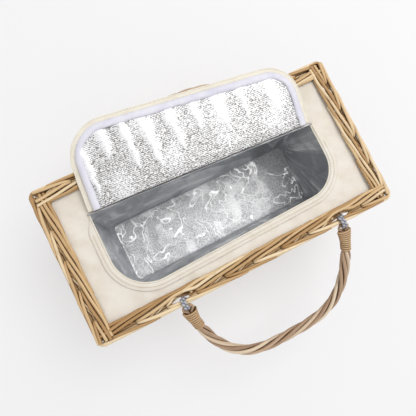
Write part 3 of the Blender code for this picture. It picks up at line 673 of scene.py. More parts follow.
def corner_routes(turn):
    """Two rod ends that curl round the outside of a corner."""
    half = WALL_HALF[turn % 2]
    next_half = WALL_HALF[(turn + 1) % 2]
    routes = []
    for out, z, before, after in CORNER_ENDS:
        points = [wall_point(turn, half - before * (1 - i / 4), out, z) for i in range(5)]
        post = wall_point(turn, half, 0.0, z)
        start = wall_point(turn, half, out, z) - post
        for i in range(1, 8):
            swing = Matrix.Rotation(math.pi / 2 * i / 8, 3, "Z") @ start
            points.append(post + swing * (1 + 0.10 * math.sin(math.pi * i / 8)))
        points += [
            wall_point((turn + 1) % 4, -next_half + after * i / 4, out, z) for i in range(5)
        ]
        routes.append(blunt(points, CORNER_END_RADIUS))
    return routes


for turn, side in enumerate(SIDE_NAMES):
    routes = border_routes(turn) + corner_routes(turn)
    piece = rods(f"border_{side}_rods", routes, WILLOW, sides=8, seed=40 + turn)
    place_piece(piece, "basket", "willow", f"border_outer_{side}", f"border_inner_{side}")

# %% [markdown]
# ## The opening's outline
# The zip and the lid share one outline: a straight hinge at the back and two generously
# rounded corners in front. It is worked out once, at any distance inside the cut edge.

# %% Outline
HINGE_LEFT = Vector((-0.166, 0.052))
HINGE_RIGHT = Vector((0.169, 0.033))
FRONT_RIGHT = Vector((0.169, -0.062))
FRONT_LEFT = Vector((-0.167, -0.071))
FRONT_RIGHT_ROUND = 0.048
FRONT_LEFT_ROUND = 0.054
HINGE_Z = 0.1982
LID_ANGLE = math.radians(9.0)


def cross_point(point_a, way_a, point_b, way_b):
    """Where two lines meet, each given by a point and its direction."""
    share = (point_b - point_a).cross(way_b) / way_a.cross(way_b)
    return point_a + way_a * share


def rounded(corner, before, after, radius, steps=20):
    """The points of a corner's round, which touches the lines to both neighbours."""
    to_before, to_after = (before - corner).normalized(), (after - corner).normalized()
    half = to_before.angle(to_after) / 2
    centre = corner + (to_before + to_after).normalized() * radius / math.sin(half)
    start = corner + to_before * radius / math.tan(half) - centre
    sweep = math.pi - 2 * half
    return [centre + Matrix.Rotation(sweep * i / steps, 2) @ start for i in range(steps + 1)]


def outline(inset, hinge_inset):
    """The opening's edge moved inward, from the hinge's left end round the front to its right."""
    corners = [HINGE_LEFT, FRONT_LEFT, FRONT_RIGHT, HINGE_RIGHT]
    lines = []
    for i, amount in enumerate((inset, inset, inset, hinge_inset)):
        way = (corners[(i + 1) % 4] - corners[i]).normalized()
        lines.append((corners[i] + Vector((-way.y, way.x)) * amount, way))
    moved = [cross_point(*lines[i - 1], *lines[i]) for i in range(4)]
    return [
        moved[0],
        *rounded(moved[1], moved[0], moved[2], FRONT_LEFT_ROUND - inset),
        *rounded(moved[2], moved[1], moved[3], FRONT_RIGHT_ROUND - inset),
        moved[3],
    ]


def evenly(points, count, closed=False):
    """The same line with evenly spaced points."""
    line = points + [points[0]] if closed else points
    runs = [0.0]
    for near, far in zip(line, line[1:]):
        runs.append(runs[-1] + (far - near).length)
    steps = count if closed else count - 1
    spread, i = [], 0
    for k in range(count):
        distance = runs[-1] * k / steps
        while i < len(line) - 2 and runs[i + 1] < distance:
            i += 1
        share = (distance - runs[i]) / (runs[i + 1] - runs[i])
        spread.append(line[i].lerp(line[i + 1], clamped(share)))
    return spread


# %% [markdown]
# ## Cloth and foil
# The top is unbleached cotton canvas, a plain weave of threads about half a millimetre
# thick. The bag is lined with aluminium-coated film: the walls are smooth and softly
# wrinkled, the floor is crumpled, and the lid's film is pressed on a fine net that gives it
# a grain of one to two millimetres. Zip tape and binding are woven polyester.

# %% Cloth materials


def cloth_material(name, colour, shade, thread, roughness, relief):
    """Plain weave: two sets of threads at right angles, a real thread spacing in metres."""
    made, tree, shader = new_material(name, roughness)
    place = object_place(tree)
    # A wave texture has one wave in a twentieth of 2 pi units, so this is the thread's scale.
    scale = 2 * math.pi / (20 * thread)
    waves = []
    for direction in ("X", "Y"):
        wave = add_node(
            tree, "ShaderNodeTexWave",
            {"Vector": place, "Scale": scale, "Distortion": 0.8, "Detail": 1.0},
            bands_direction=direction,
        )
        waves.append(wave.outputs["Fac"])
    weave = computed(tree, "MULTIPLY", *waves)
    mottle = noise_at(tree, place, 45.0, 6.0, Roughness=0.6)
    ground = coloured(tree, mottle, ((0.3, shade), (0.62, colour)))
    painted(tree, shader, blended(tree, 0.10, ground, weave, "MULTIPLY"))
    shader.inputs["Sheen Weight"].default_value = 0.15
    bumped(tree, shader, weave, relief, 0.5)
    return made


CANVAS = cloth_material("cotton_canvas", "#F5EEE3", "#EBE2D3", 0.0006, 0.9, 0.0002)
BINDING = cloth_material("polyester_binding", "#F0EFF8", "#E0DEED", 0.0008, 0.7, 0.0002)
ZIP_TAPE = cloth_material("zip_tape", "#F7F1E2", "#EFE7D5", 0.0007, 0.75, 0.0002)
THREAD = cloth_material("tan_thread", "#DCCBAA", "#CDB894", 0.0005, 0.8, 0.0001)
print("cloth", CANVAS.name, BINDING.name, ZIP_TAPE.name, THREAD.name)

# %% Foil materials
# The floor corner of the bag that the wall's creases and their painted highlight streaks fan out from.
FAN_CORNER = (0.166, 0.040, 0.020)
# A crease throws the light back at the viewer. This small glow stands for that glint.
CREASE_GLINT = 0.45


def coated_film(name, roughness, metallic, grain, dark, light):
    """Aluminium-coated film with a speckle of one grain size. Returns what the next step needs."""
    made, tree, shader = new_material(name, roughness, metallic)
    place = object_place(tree)
    speckle = noise_at(tree, place, 1 / grain, 2.0)
    return made, tree, shader, place, speckle, coloured(tree, speckle, ((0.36, dark), (0.62, light)))


def wall_film_material():
    """Smooth film with creases that fan out from a floor corner, where it was pulled taut. Their pale
    streaks and pale wisps are painted highlights.
    """
    made, tree, shader, place, speckle, ground = coated_film(
        "wall_film", 0.42, 0.45, 0.0012, "#9C9FA4", "#B0B3B8"
    )
    from_corner = add_node(
        tree, "ShaderNodeVectorMath", {0: place, 1: FAN_CORNER}, operation="SUBTRACT"
    ).outputs["Vector"]
    way = add_node(
        tree, "ShaderNodeVectorMath", {0: from_corner}, operation="NORMALIZE"
    ).outputs["Vector"]
    fan = noise_at(tree, way, 5.5, 5.0, Roughness=0.62)
    cloud = noise_at(tree, place, 22.0, 3.0, Distortion=0.8)
    # Painted highlight: pale streaks along the fanning creases, and pale wisps, stand for light that the
    # film reflects.
    taut = ranged(tree, fan, 0.45, 0.60)
    slack = ranged(tree, cloud, 0.38, 0.58, 0.25, 1.0)
    fanned_highlight = computed(tree, "MULTIPLY", taut, slack)
    highlight_wisps = ranged(tree, cloud, 0.54, 0.70, 0.0, 0.32)
    painted_highlight = computed(tree, "MAXIMUM", fanned_highlight, highlight_wisps)
    painted(tree, shader, blended(tree, painted_highlight, ground, linear("#F4F5F7")))
    bumped(tree, shader, computed(tree, "MULTIPLY", fan, cloud), 0.0040, 0.6)
    return made


def floor_film_material():
    """Crumpled film: a grain of 1.4 mm painted grey and white as its sparkle, and thin creases that curl
    about, painted white and glowing a little as highlights.
    """
    made, tree, shader, place, speckle, ground = coated_film(
        "crumpled_film", 0.46, 0.32, 0.0014, "#B2B3B6", "#FFFFFF"
    )
    # A crease lies where the curling noise is near its middle value.
    curls = noise_at(tree, place, 26.0, 1.0, Distortion=1.6)
    distance = computed(tree, "ABSOLUTE", computed(tree, "SUBTRACT", curls, 0.5))
    crease = ranged(tree, distance, 0.007, 0.021, 1.0, 0.0)
    patches = noise_at(tree, place, 30.0, 3.0, Distortion=0.7)
    # Painted highlight: crease lines and some patches are painted white and glow a little, for the glint
    # of the crumpled film.
    line = computed(tree, "MULTIPLY", crease, ranged(tree, patches, 0.38, 0.46))
    bright = ranged(tree, patches, 0.55, 0.64, 0.0, 0.45)
    paled = blended(tree, bright, ground, linear("#FFFFFF"))
    painted(tree, shader, blended(tree, line, paled, linear("#FFFFFF")))
    glint = computed(tree, "MAXIMUM", line, computed(tree, "MULTIPLY", bright, speckle))
    tree.links.new(
        ranged(tree, glint, 0.0, 1.0, 0.0, CREASE_GLINT), shader.inputs["Emission Strength"]
    )
    shader.inputs["Emission Color"].default_value = linear("#FFFFFF")
    bumped(tree, shader, computed(tree, "ADD", speckle, line), 0.0003, 0.45)
    return made


WALL_FOIL = wall_film_material()
FLOOR_FOIL = floor_film_material()
print("foil", WALL_FOIL.name, FLOOR_FOIL.name)

# %% [markdown]
# ## Sheets between two outlines
# Canvas, tape and binding are sheets that lie between two lines round the opening. Points
# are spread evenly along each line and joined in rows, which gives clean four-sided faces
# that can be moved up and down for folds.

# %% Sheets


def ribbon(name, rows, closed, material):
    """A sheet from rows of points, each row the same number of points."""
    mesh = bpy.data.meshes.new(name)
    count = len(rows[0])
    faces = []
    for r in range(len(rows) - 1):
        for i in range(count if closed else count - 1):
            j = (i + 1) % count
            faces.append((r * count + i, r * count + j, (r + 1) * count + j, (r + 1) * count + i))
    mesh.from_pydata([point for row in rows for point in row], [], faces)
    piece = linked(name, mesh)
    mesh.materials.append(material)
    cleaned(piece, merge=0.00001)
    return piece


def thicken(piece, thickness, offset):
    """Gives a sheet its thickness and applies it."""
    alone(piece)
    solid = piece.modifiers.new("thickness", "SOLIDIFY")
    solid.thickness = thickness
    solid.offset = offset
    solid.use_even_offset = False
    bpy.ops.object.modifier_apply(modifier=solid.name)


# %% [markdown]
# ## The canvas top
# The top is a sheet of canvas stretched under the border, with the opening cut out of it. It
# could be a flat plate, but cloth held at its edges sags a little and takes soft slanting
# creases.

# %% Canvas top
PANEL_HALF = (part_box("canvas_top")[1][0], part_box("canvas_top")[1][1])
PANEL_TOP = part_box("canvas_top")[1][2]
CANVAS_THICKNESS = 0.0012
PANEL_MIDDLE = Vector((0.0, -0.012))
PANEL_AROUND = 360
PANEL_STEPS = 30


def cloth_height(x, y, calm):
    """Soft folds and creases of the stretched top, none where calm is 0."""
    broad = noise.noise(Vector((x * 14, y * 14, 3.1))) * 0.0008
    slant = noise.noise(Vector(((x + y) * 60, (x - y) * 9, 7.7))) * 0.0011
    fine = noise.noise(Vector((x * 70, y * 34, 1.3))) * 0.0003
    return (broad + slant + fine - 0.0012) * calm


def stretch_to_edge(way):
    """How many times a way from the panel's middle goes into the distance to its edge."""
    stretches = [9.0]
    for i in range(2):
        if abs(way[i]) > 1e-6:
            side = math.copysign(PANEL_HALF[i], way[i])
            stretches.append((side - PANEL_MIDDLE[i]) / way[i])
    return min(stretches)


def panel_rows():
    """Rows round the opening, from its cut edge out to the panel's edge."""
    inner = evenly(outline(0.0, 0.0), PANEL_AROUND, closed=True)
    rows = []
    for r in range(PANEL_STEPS + 1):
        share = r / PANEL_STEPS
        row = []
        for point in inner:
            way = point - PANEL_MIDDLE
            place = point.lerp(PANEL_MIDDLE + way * stretch_to_edge(way), share)
            calm = max(math.sin(math.pi * min(1.0, share * 1.15)), 0.0)
            z = PANEL_TOP - 0.0001 + cloth_height(place.x, place.y, calm)
            row.append(Vector((place.x, place.y, z)))
        rows.append(row)
    return rows


canvas_top = ribbon("canvas_top_sheet", panel_rows(), True, CANVAS)
thicken(canvas_top, CANVAS_THICKNESS, -1.0)
place_piece(canvas_top, "basket", "canvas", "canvas_top")
ring = outline(0.0, 0.0)

# %% Tape, zip and stitches round the opening
EDGE_POINTS = 260
TAPER_POINTS = 14
# The tape's section, rolled over the cut edge: how far inside the edge and how high.
TAPE_PROFILE = [
    (0.0004, 0.1965), (0.0000, 0.1976), (-0.0018, 0.1983), (-0.0042, 0.1978), (-0.0070, 0.1974),
    (-0.0092, 0.1970), (-0.0100, 0.1966),
]
COIL_RADIUS = 0.0011
THREAD_RADIUS = 0.00028


def edge_line(inset, z, count=EDGE_POINTS):
    """A line that follows the opening from the hinge's left end to its right."""
    return [Vector((p.x, p.y, z)) for p in evenly(outline(inset, 0.0), count)]


tape_rows = []
cut_edge = evenly(outline(0.0, 0.0), EDGE_POINTS)
for inset, z in TAPE_PROFILE:
    row = []
    for i, point in enumerate(evenly(outline(inset, 0.0), EDGE_POINTS)):
        # The tape narrows to nothing where it runs in under the hinge.
        full = min(1.0, min(i, EDGE_POINTS - 1 - i) / TAPER_POINTS)
        point = cut_edge[i].lerp(point, eased(full))
        wobble = noise.noise(Vector((point.x * 22, point.y * 22, 0.4))) * 0.0005
        row.append(Vector((point.x, point.y, z + max(wobble, -0.0002))))
    tape_rows.append(row)
edge_tape = ribbon("opening_tape", tape_rows, False, CANVAS)
thicken(edge_tape, 0.0006, -1.0)
place_piece(edge_tape, "basket", "canvas", "opening_edge_tape")

coil_route = [(point, COIL_RADIUS) for point in edge_line(0.0013, 0.1960, 300)]
coil = rods("zip_coil_on_body", [coil_route], ZIP_TAPE, 8)
place_piece(coil, "basket", "zip_tape", "body_zip_coil")


def stitches(name, line, material, thread_radius, pitch):
    """A row of short stitches that dip into the cloth at both ends."""
    count = max(2, int(run_of(line) / pitch))
    marks = evenly(line, count * 4 + 1)
    rise = Vector((0, 0, thread_radius * 0.8))
    sunk = Vector((0, 0, -0.0003))
    routes = []
    for i in range(count):
        a, b, c, after = marks[4 * i], marks[4 * i + 1], marks[4 * i + 3], marks[4 * i + 4]
        routes.append([
            (a + sunk, POINT_RADIUS), (a + rise * 0.3, thread_radius), (b + rise, thread_radius),
            (c + rise * 0.3, thread_radius), (c.lerp(after, 0.3) + sunk, POINT_RADIUS),
        ])
    return rods(name, routes, material, sides=6, seed=2)


tape_line = edge_line(-0.0050, 0.1979)[TAPER_POINTS:-TAPER_POINTS]
tape_stitches = stitches("opening_stitches", tape_line, THREAD, THREAD_RADIUS, 0.0038)
place_piece(tape_stitches, "basket", "zip_tape")

# %% [markdown]
# ## The cool bag
# The bag is a soft box of film, foam and canvas that narrows to its floor. It is lofted as
# one sheet from the opening to the floor, with rounded corners, then pushed in and out so
# that the film hangs in shallow upright folds, and last given its padding.

# %% Bag
BAG_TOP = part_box("bag_canvas")[1][2]
BAG_FLOOR_Z = 0.0213
BAG_INSET = 0.0076
FLOOR_HALF = (0.168, 0.052)
FLOOR_CENTRE = (0.006, -0.008)
FLOOR_RINGS = 29
SPINE_HALF = 0.116
PADDING = 0.0055
TOP_HALF = (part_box("bag_canvas")[1][0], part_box("bag_canvas")[1][1])
BAG_AROUND = 280
BAG_ROWS = 48


def bag_section(share):
    """The inside of the bag at a share of its height, as evenly spread points."""
    half = [FLOOR_HALF[i] * (1 - share) + (TOP_HALF[i] - BAG_INSET) * share for i in range(2)]
    centre = [FLOOR_CENTRE[i] * (1 - share) for i in range(2)]
    radius = 0.008 + 0.006 * share
    # It starts in the middle of the right wall, so that both halves of the floor match.
    points = [Vector((centre[0] + half[0], centre[1]))]
    for sx, sy, start in ((1, 1, 0), (-1, 1, 90), (-1, -1, 180), (1, -1, 270)):
        for k in range(9):
            angle = math.radians(start + 90 * k / 8)
            corner = (half[0] - radius) * sx, (half[1] - radius) * sy
            points.append(
                Vector((
                    centre[0] + corner[0] + radius * math.cos(angle),
                    centre[1] + corner[1] + radius * math.sin(angle),
                ))
            )
    return evenly(points, BAG_AROUND, closed=True)


def film_fold(x, y, z, share):
    """How far the film stands in from the wall: shallow upright folds, none at the edges."""
    still = math.sin(math.pi * clamped(share)) ** 0.7
    folds = abs(noise.noise(Vector((x * 34, y * 34, z * 9 + 2.0))))
    small = abs(noise.noise(Vector((x * 90, y * 90, z * 40 + 5.0))))
    broad = noise.noise(Vector((x * 12, y * 12, z * 8)))
    return still * (0.0048 * folds + 0.0012 * small + 0.0016 * (broad + 0.5))


bag_rows = []
for r in range(BAG_ROWS + 1):
    share = 1 - r / BAG_ROWS
    z = BAG_FLOOR_Z + (BAG_TOP - BAG_FLOOR_Z) * share
    centre = Vector((FLOOR_CENTRE[0] * (1 - share), FLOOR_CENTRE[1] * (1 - share)))
    row = []
    for point in bag_section(share):
        inward = Vector((centre.x - point.x, (centre.y - point.y) * 3)).normalized()
        moved = point + inward * max(film_fold(point.x, point.y, z, share), 0.0)
        row.append(Vector((moved.x, moved.y, z)))
    bag_rows.append(row)
# The floor: rings that shrink to a line along its middle.
floor_ring = bag_rows[-1]
middle = Vector((*FLOOR_CENTRE, BAG_FLOOR_Z))
for r in range(1, FLOOR_RINGS + 1):
    share = r / FLOOR_RINGS
    row = []
    for point in floor_ring:
        reach = max(min(point.x - middle.x, SPINE_HALF), -SPINE_HALF)
        place = point.lerp(Vector((middle.x + reach, middle.y, BAG_FLOOR_Z)), share)
        crumple = noise.noise(Vector((place.x * 55, place.y * 55, 8.0)))
        ridge = 1 - abs(noise.noise(Vector((place.x * 32, place.y * 32, 2.0)))) * 2
        place.z = BAG_FLOOR_Z + min(1.0, share * 6) * (0.0007 * crumple + 0.0007 * max(ridge, 0.0))
        row.append(place)
    bag_rows.append(row)
bag = ribbon("bag_lining", bag_rows, True, WALL_FOIL)
bag.data.materials.append(FLOOR_FOIL)
bag.data.materials.append(CANVAS)
for face in bag.data.polygons:
    face.material_index = 1 if face.center.z < BAG_FLOOR_Z + 0.004 and face.normal.z ** 2 > 0.3 else 0
print(f"bag: {len(bag.data.polygons)} faces")


def facing_in(piece, inside):
    """Turns a sheet's faces so that they look towards a point."""
    mesh = bmesh.new()
    mesh.from_mesh(piece.data)
    mesh.faces.ensure_lookup_table()
    total = sum(face.normal.dot(inside - face.calc_center_median()) for face in mesh.faces)
    if total < 0:
        bmesh.ops.reverse_faces(mesh, faces=mesh.faces)
    mesh.to_mesh(piece.data)
    mesh.free()


facing_in(bag, Vector((0, 0, 0.15)))
alone(bag)
padding = bag.modifiers.new("padding", "SOLIDIFY")
padding.thickness = PADDING
padding.offset = -1.0
padding.material_offset = 2
padding.material_offset_rim = 2
bpy.ops.object.modifier_apply(modifier=padding.name)
place_piece(
    bag, "basket", "foil", "bag_canvas", "bag_foil", "foam_floor", "foam_front", "foam_back",
    "foam_left", "foam_right",
)

# %% Stitches round the bag's floor
FLOOR_SEAM_SHARE = 0.965
FLOOR_SEAM_Z = BAG_FLOOR_Z + 0.0022
flat_middle = middle.to_2d()
floor_line = [flat_middle.lerp(point, FLOOR_SEAM_SHARE) for point in bag_section(0.0)]
seam_line = [Vector((point.x, point.y, FLOOR_SEAM_Z)) for point in floor_line]
bag_stitches = stitches("bag_floor_stitches", seam_line + seam_line[:1], BINDING, 0.00035, 0.0057)
place_piece(bag_stitches, "basket", "foil")

# %% [markdown]
# ## The lid
# The lid is a padded panel of canvas, foam and mesh-backed film, edged with a pale binding
# tape and, beyond it, one half of the zip. It lies open over the back, so its film faces
# up. It is modelled in the lid's own plane, with distances along the hinge and away from it,
# and each point is then turned about the hinge to where the open lid lies.

# %% Lid coordinates
HINGE_WAY = (HINGE_RIGHT - HINGE_LEFT).normalized()
HINGE_BACK = Vector((-HINGE_WAY.y, HINGE_WAY.x))
# The depth of the lid, from its hinge to its free edge.
LID_DEPTH = 0.105
LID_HINGE_INSET = 0.0018
ZIP_HINGE_INSET = 0.003
# How far the free edge droops and is drawn in, and how much more the left corner does.
LID_DROOP = 0.0006
LID_PULL = 0.0010
CORNER_DROOP = 0.0006
CORNER_PULL = 0.0040
CORNER_LENGTH = 0.080
CORNER_START = 0.030
# How far the pad lies inside the opening's edge, and its two faces over the hinge.
LID_EDGE = 0.0112
LID_TOP = 0.0094
LID_UNDER = 0.0018


def lid_place(flat):
    """A point of the outline as distances along the hinge and away from it."""
    return (flat - HINGE_LEFT).dot(HINGE_WAY), -(flat - HINGE_LEFT).dot(HINGE_BACK)


def lid_point(flat, lift):
    """A point of the closed lid's outline, laid open. Lift is the height over the hinge.

    The lid is soft, so its free edge is drawn in and droops, most of all at the left corner.
    """
    along, away = lid_place(flat)
    ground = HINGE_LEFT + HINGE_WAY * along
    soft = (max(away, 0.0) / LID_DEPTH) ** 2 * (0.3 + 0.7 * eased(clamped((0.30 - along) / 0.20)))
    corner = clamped((CORNER_LENGTH - along) / CORNER_LENGTH)
    corner *= max((away - CORNER_START) / (LID_DEPTH - CORNER_START), 0.0)
    corner **= 1.5
    lift -= LID_DROOP * soft + CORNER_DROOP * corner
    away -= LID_PULL * soft + CORNER_PULL * corner
    ground += HINGE_WAY * CORNER_PULL * 0.5 * corner
    back = away * math.cos(LID_ANGLE) - lift * math.sin(LID_ANGLE)
    rise = away * math.sin(LID_ANGLE) + lift * math.cos(LID_ANGLE)
    return Vector((ground.x + HINGE_BACK.x * back, ground.y + HINGE_BACK.y * back, HINGE_Z + rise))



# %% Netted film material
NET_SCALE = (430, 900, 430)


def netted_material():
    """Film bonded to a net: dark dashes of 2.3 by 1.1 mm along the hinge, fewer on a crest. The pleats'
    crests are painted lighter as highlights and the film between them darker as shade.
    """
    made, tree, shader = new_material("netted_film", 0.42, 0.2)
    hinge_turn = -math.atan2(HINGE_WAY.y, HINGE_WAY.x)
    net = add_node(
        tree, "ShaderNodeMapping",
        {"Vector": object_place(tree), "Rotation": (0, 0, hinge_turn), "Scale": NET_SCALE},
    ).outputs["Vector"]
    grain = noise_at(tree, net, 1.0, 1.5, Roughness=0.55)
    rows = add_node(
        tree, "ShaderNodeTexWave",
        {"Vector": net, "Scale": 2 * math.pi / 20 / 2.1, "Distortion": 1.5, "Detail": 1.0},
        bands_direction="Y",
    ).outputs["Fac"]
    netted = computed(tree, "MULTIPLY_ADD", rows, 0.16, grain)
    # Painted highlight and shade: lighter on the pleats' crests, darker between them.
    crest = ranged(tree, stored(tree, "pleat")["Fac"], 0.05, 0.95, -0.10, 0.13)
    level = computed(tree, "ADD", netted, crest)
    painted(tree, shader, coloured(tree, level, ((0.36, "#625D58"), (0.47, "#B9B8B7"), (0.58, "#F6F6F8"))))
    bumped(tree, shader, grain, 0.0004, 0.5)
    return made


LID_FILM = netted_material()

# %% Lid pad
# Each pleat: distance along the hinge, half width at the free edge, and its reach inward as
# a share of the lid's depth.
PLEATS = [
    (0.026, 0.0075, 0.92), (0.058, 0.0100, 0.45), (0.088, 0.0075, 0.80), (0.116, 0.0105, 0.88),
    (0.152, 0.0095, 0.75), (0.186, 0.0085, 0.62), (0.219, 0.0115, 0.74), (0.253, 0.0075, 0.70),
    (0.296, 0.0130, 0.80),
]
LID_COLUMNS = 150
LID_ROWS = 56


def pleat_at(along, away):
    """The soft pleats, wide at the free edge and pointed towards the hinge: 1 on a crest."""
    share = away / 0.100
    ragged = 0.0040 * noise.noise(Vector((along * 90, away * 70, 4.0)))
    best = 0.0
    for middle, half, reach in PLEATS:
        inward = (share - (1 - reach)) / reach
        if inward <= 0:
            continue
        width = max(half * min(1.0, inward * 1.25) * (1 - max(0.0, share - 0.75) * 2.0), 0.0006)
        off = (along + ragged - middle + (share - 0.5) * 0.004) / width
        best = max(best, math.exp(-off * off) * min(1.0, inward * 3.5))
    patch = noise.noise(Vector((along * 26, away * 30, 9.0)))
    return clamped(0.95 * best + 0.55 * max(patch, 0.0) * (1 - best) + 0.05)


lid_places = [lid_place(point) for point in outline(LID_EDGE, LID_HINGE_INSET)]
low_along = lid_places[0][0]
high_along = lid_places[-1][0]


def lid_reach(along):
    """How far from the hinge the pad's outline lies at a place along it."""
    best = 0.0
    for (a, depth_a), (b, depth_b) in zip(lid_places, lid_places[1:]):
        if min(a, b) - 1e-9 <= along <= max(a, b) + 1e-9 and abs(b - a) > 1e-7:
            best = max(best, depth_a + (depth_b - depth_a) * (along - a) / (b - a))
    return best


def pad_grid():
    """Columns across the hinge, closer together towards both ends, where the corners are."""
    columns = []
    for i in range(LID_COLUMNS + 1):
        spread = 0.55 * waved(i / LID_COLUMNS) + 0.45 * i / LID_COLUMNS
        along = low_along + (high_along - low_along) * spread
        reach = lid_reach(min(max(along, low_along + 0.0004), high_along - 0.0004))
        step = (reach - LID_HINGE_INSET) / LID_ROWS
        columns.append([(along, LID_HINGE_INSET + step * j) for j in range(LID_ROWS + 1)])
    return columns


def lid_surface(columns, upper):
    """The film or the canvas side of the pad, puffed between its edges."""
    points = []
    for column in columns:
        far = column[-1][1]
        for along, away in column:
            edge = min(along - low_along, high_along - along, away - LID_HINGE_INSET, far - away)
            full = math.sqrt(clamped(edge / 0.012))
            if upper:
                lift = LID_TOP - 0.0018 * (1 - full) + full * (0.0004 + 0.0015 * pleat_at(along, away))
            else:
                ripple = noise.noise(Vector((along * 30, away * 30, 2)))
                lift = LID_UNDER + 0.0006 * (1 - full) + 0.0003 * ripple * full
            flat = HINGE_LEFT + HINGE_WAY * along - HINGE_BACK * away
            points.append(lid_point(flat, lift))
    return points


# The pad is closed: a film side, a canvas side and a row of faces round the rim.
pad_columns = pad_grid()
wide = LID_ROWS + 1
total = (LID_COLUMNS + 1) * wide
film_faces = [
    (i * wide + j, i * wide + j + 1, (i + 1) * wide + j + 1, (i + 1) * wide + j)
    for i in range(LID_COLUMNS)
    for j in range(LID_ROWS)
]
canvas_faces = [tuple(total + corner for corner in reversed(face)) for face in film_faces]
rim = [i * wide for i in range(LID_COLUMNS + 1)]
rim += [LID_COLUMNS * wide + j for j in range(1, wide)]
rim += [i * wide + LID_ROWS for i in reversed(range(LID_COLUMNS))]
rim += [j for j in reversed(range(1, LID_ROWS))]
side_faces = [(a, b, total + b, total + a) for a, b in zip(rim, rim[1:] + rim[:1])]
mesh = bpy.data.meshes.new("lid_pad")
mesh.from_pydata(
    lid_surface(pad_columns, True) + lid_surface(pad_columns, False), [],
    film_faces + canvas_faces + side_faces,
)
lid_pad = linked("lid_pad", mesh)
mesh.materials.append(CANVAS)
mesh.materials.append(LID_FILM)
# The pleats' heights are stored for the film's painted highlights on their crests.
crests = [pleat_at(*place) for column in pad_columns for place in column]
mesh.attributes.new("pleat", "FLOAT", "POINT").data.foreach_set("value", crests + [0.0] * total)
cleaned(lid_pad)
for face in mesh.polygons:
    face.material_index = 1 if face.index < len(film_faces) else 0
place_piece(lid_pad, "lid", "foil", "lid_canvas", "lid_foam", "lid_foil")
print(f"lid pad: {len(mesh.polygons)} faces")

# %% Binding, tape and zip on the lid
STRIP_POINTS = 320
BINDING_WAVE = 0.0022
ZIP_WAVE = 0.0009
STRIP_THICKNESS = 0.0008
SEAM_RADIUS = 0.0014


def swayed_line(inset, hinge_inset, lift, wave):
    """A line along the lid's free edge that sways a little in and out, up and down."""
    line = []
    for i, point in enumerate(evenly(outline(inset, hinge_inset), STRIP_POINTS)):
        sway = noise.noise(Vector((i * 0.09, 3.0, 1.0))) * wave
        lull = noise.noise(Vector((i * 0.06, 8.0, 2.0))) * wave
        drift = (point - Vector((0.0, -0.01))).normalized() * sway
        line.append(lid_point(point + drift, lift + lull))
    return line


def lid_strip(name, profile, wave, material, hinge_inset):
    """A strip along the lid's free edge. Its profile is inset, lift and looseness."""
    rows = [swayed_line(inset, hinge_inset, lift, wave * loose) for inset, lift, loose in profile]
    piece = ribbon(name, rows, False, material)
    thicken(piece, STRIP_THICKNESS, 0.0)
    return piece


binding_profile = [
    (LID_EDGE + 0.0090, LID_TOP + 0.0001, 0.9), (LID_EDGE + 0.0088, LID_TOP + 0.0016, 0.9),
    (LID_EDGE + 0.0052, LID_TOP + 0.0020, 0.4), (LID_EDGE + 0.0016, LID_TOP + 0.0010, 0.2),
    (LID_EDGE - 0.0006, LID_TOP - 0.0016, 0.0), (LID_EDGE - 0.0008, LID_UNDER + 0.0014, 0.0),
]
binding = lid_strip("lid_edge_binding", binding_profile, BINDING_WAVE, BINDING, LID_HINGE_INSET)
place_piece(binding, "lid", "binding_tape", "lid_binding")

tape_profile = [
    (LID_EDGE + 0.0002, LID_UNDER + 0.0012, 0.0), (LID_EDGE - 0.0030, LID_UNDER + 0.0014, 0.5),
    (0.0056, LID_UNDER + 0.0012, 1.0), (0.0040, LID_UNDER + 0.0010, 1.0),
]
lid_tape = lid_strip("lid_zip_tape_strip", tape_profile, ZIP_WAVE, ZIP_TAPE, ZIP_HINGE_INSET)
place_piece(lid_tape, "lid", "zip_tape", "lid_zip_tape")

bead_line = swayed_line(0.0036, ZIP_HINGE_INSET, LID_UNDER + 0.0010, ZIP_WAVE)
bead_route = [(point, COIL_RADIUS) for point in bead_line]
lid_coil = rods("lid_zip_coil_bead", [bead_route], ZIP_TAPE, 8)
place_piece(lid_coil, "lid", "zip_tape", "lid_zip_coil")

roll_ends = [Vector((*point, HINGE_Z)) for point in (HINGE_LEFT, HINGE_RIGHT)]
roll_route = [roll_ends[0].lerp(roll_ends[1], i / 24) for i in range(25)]
roll = rods("lid_hinge_seam", [blunt(roll_route, SEAM_RADIUS)], WALL_FOIL, 10)
place_piece(roll, "lid", "foil", "lid_hinge_roll")

# %% [markdown]
# ## The handles
# A handle is five willow rods twisted round a sixth and bent into a bow. At each end a rod is
# bent round into an eye, and split cane is bound tightly over the join. Rings of grey cord
# go through the eyes and round the border. The handle is laid out flat and then turned down
# to where it hangs.

# %% Handle coordinates
HANDLE_DROP = {"front": 32.0, "back": 56.0}
ARCH_START = 0.016
ARCH_HEIGHT = 0.132
SIDE_POWER = 3.4
TOP_POWER = 1.7
BOW_START = 0.034
ROD_COUNT = 5
BOW_ROD_RADIUS = 0.00275
BOW_HELIX = 0.0050
TWIST_PITCH = 0.150
# The rods' distance from the middle line where a binding holds them together.
BOUND_HELIX = 0.0022
CORE_RADIUS = 0.0021
ARCH_POINTS = 400
EYE_RADIUS = 0.0018
EYE_BEND = 0.007
EYE_APEX = ROPE_RADIUS + 0.0003 + EYE_RADIUS
BINDING_START = 0.0168
BINDING_END = 0.0500
CANE_RADIUS = 0.0014
CANE_TURNS = 9.5
CANE_FLARE = 0.020
RING_CORD = 0.0017
RING_RADIUS = 0.0082
RING_OFFSET = 0.00215
RING_PITCH = 0.0035
CORD_TURNS = 2
CORD_TWIST = 0.005


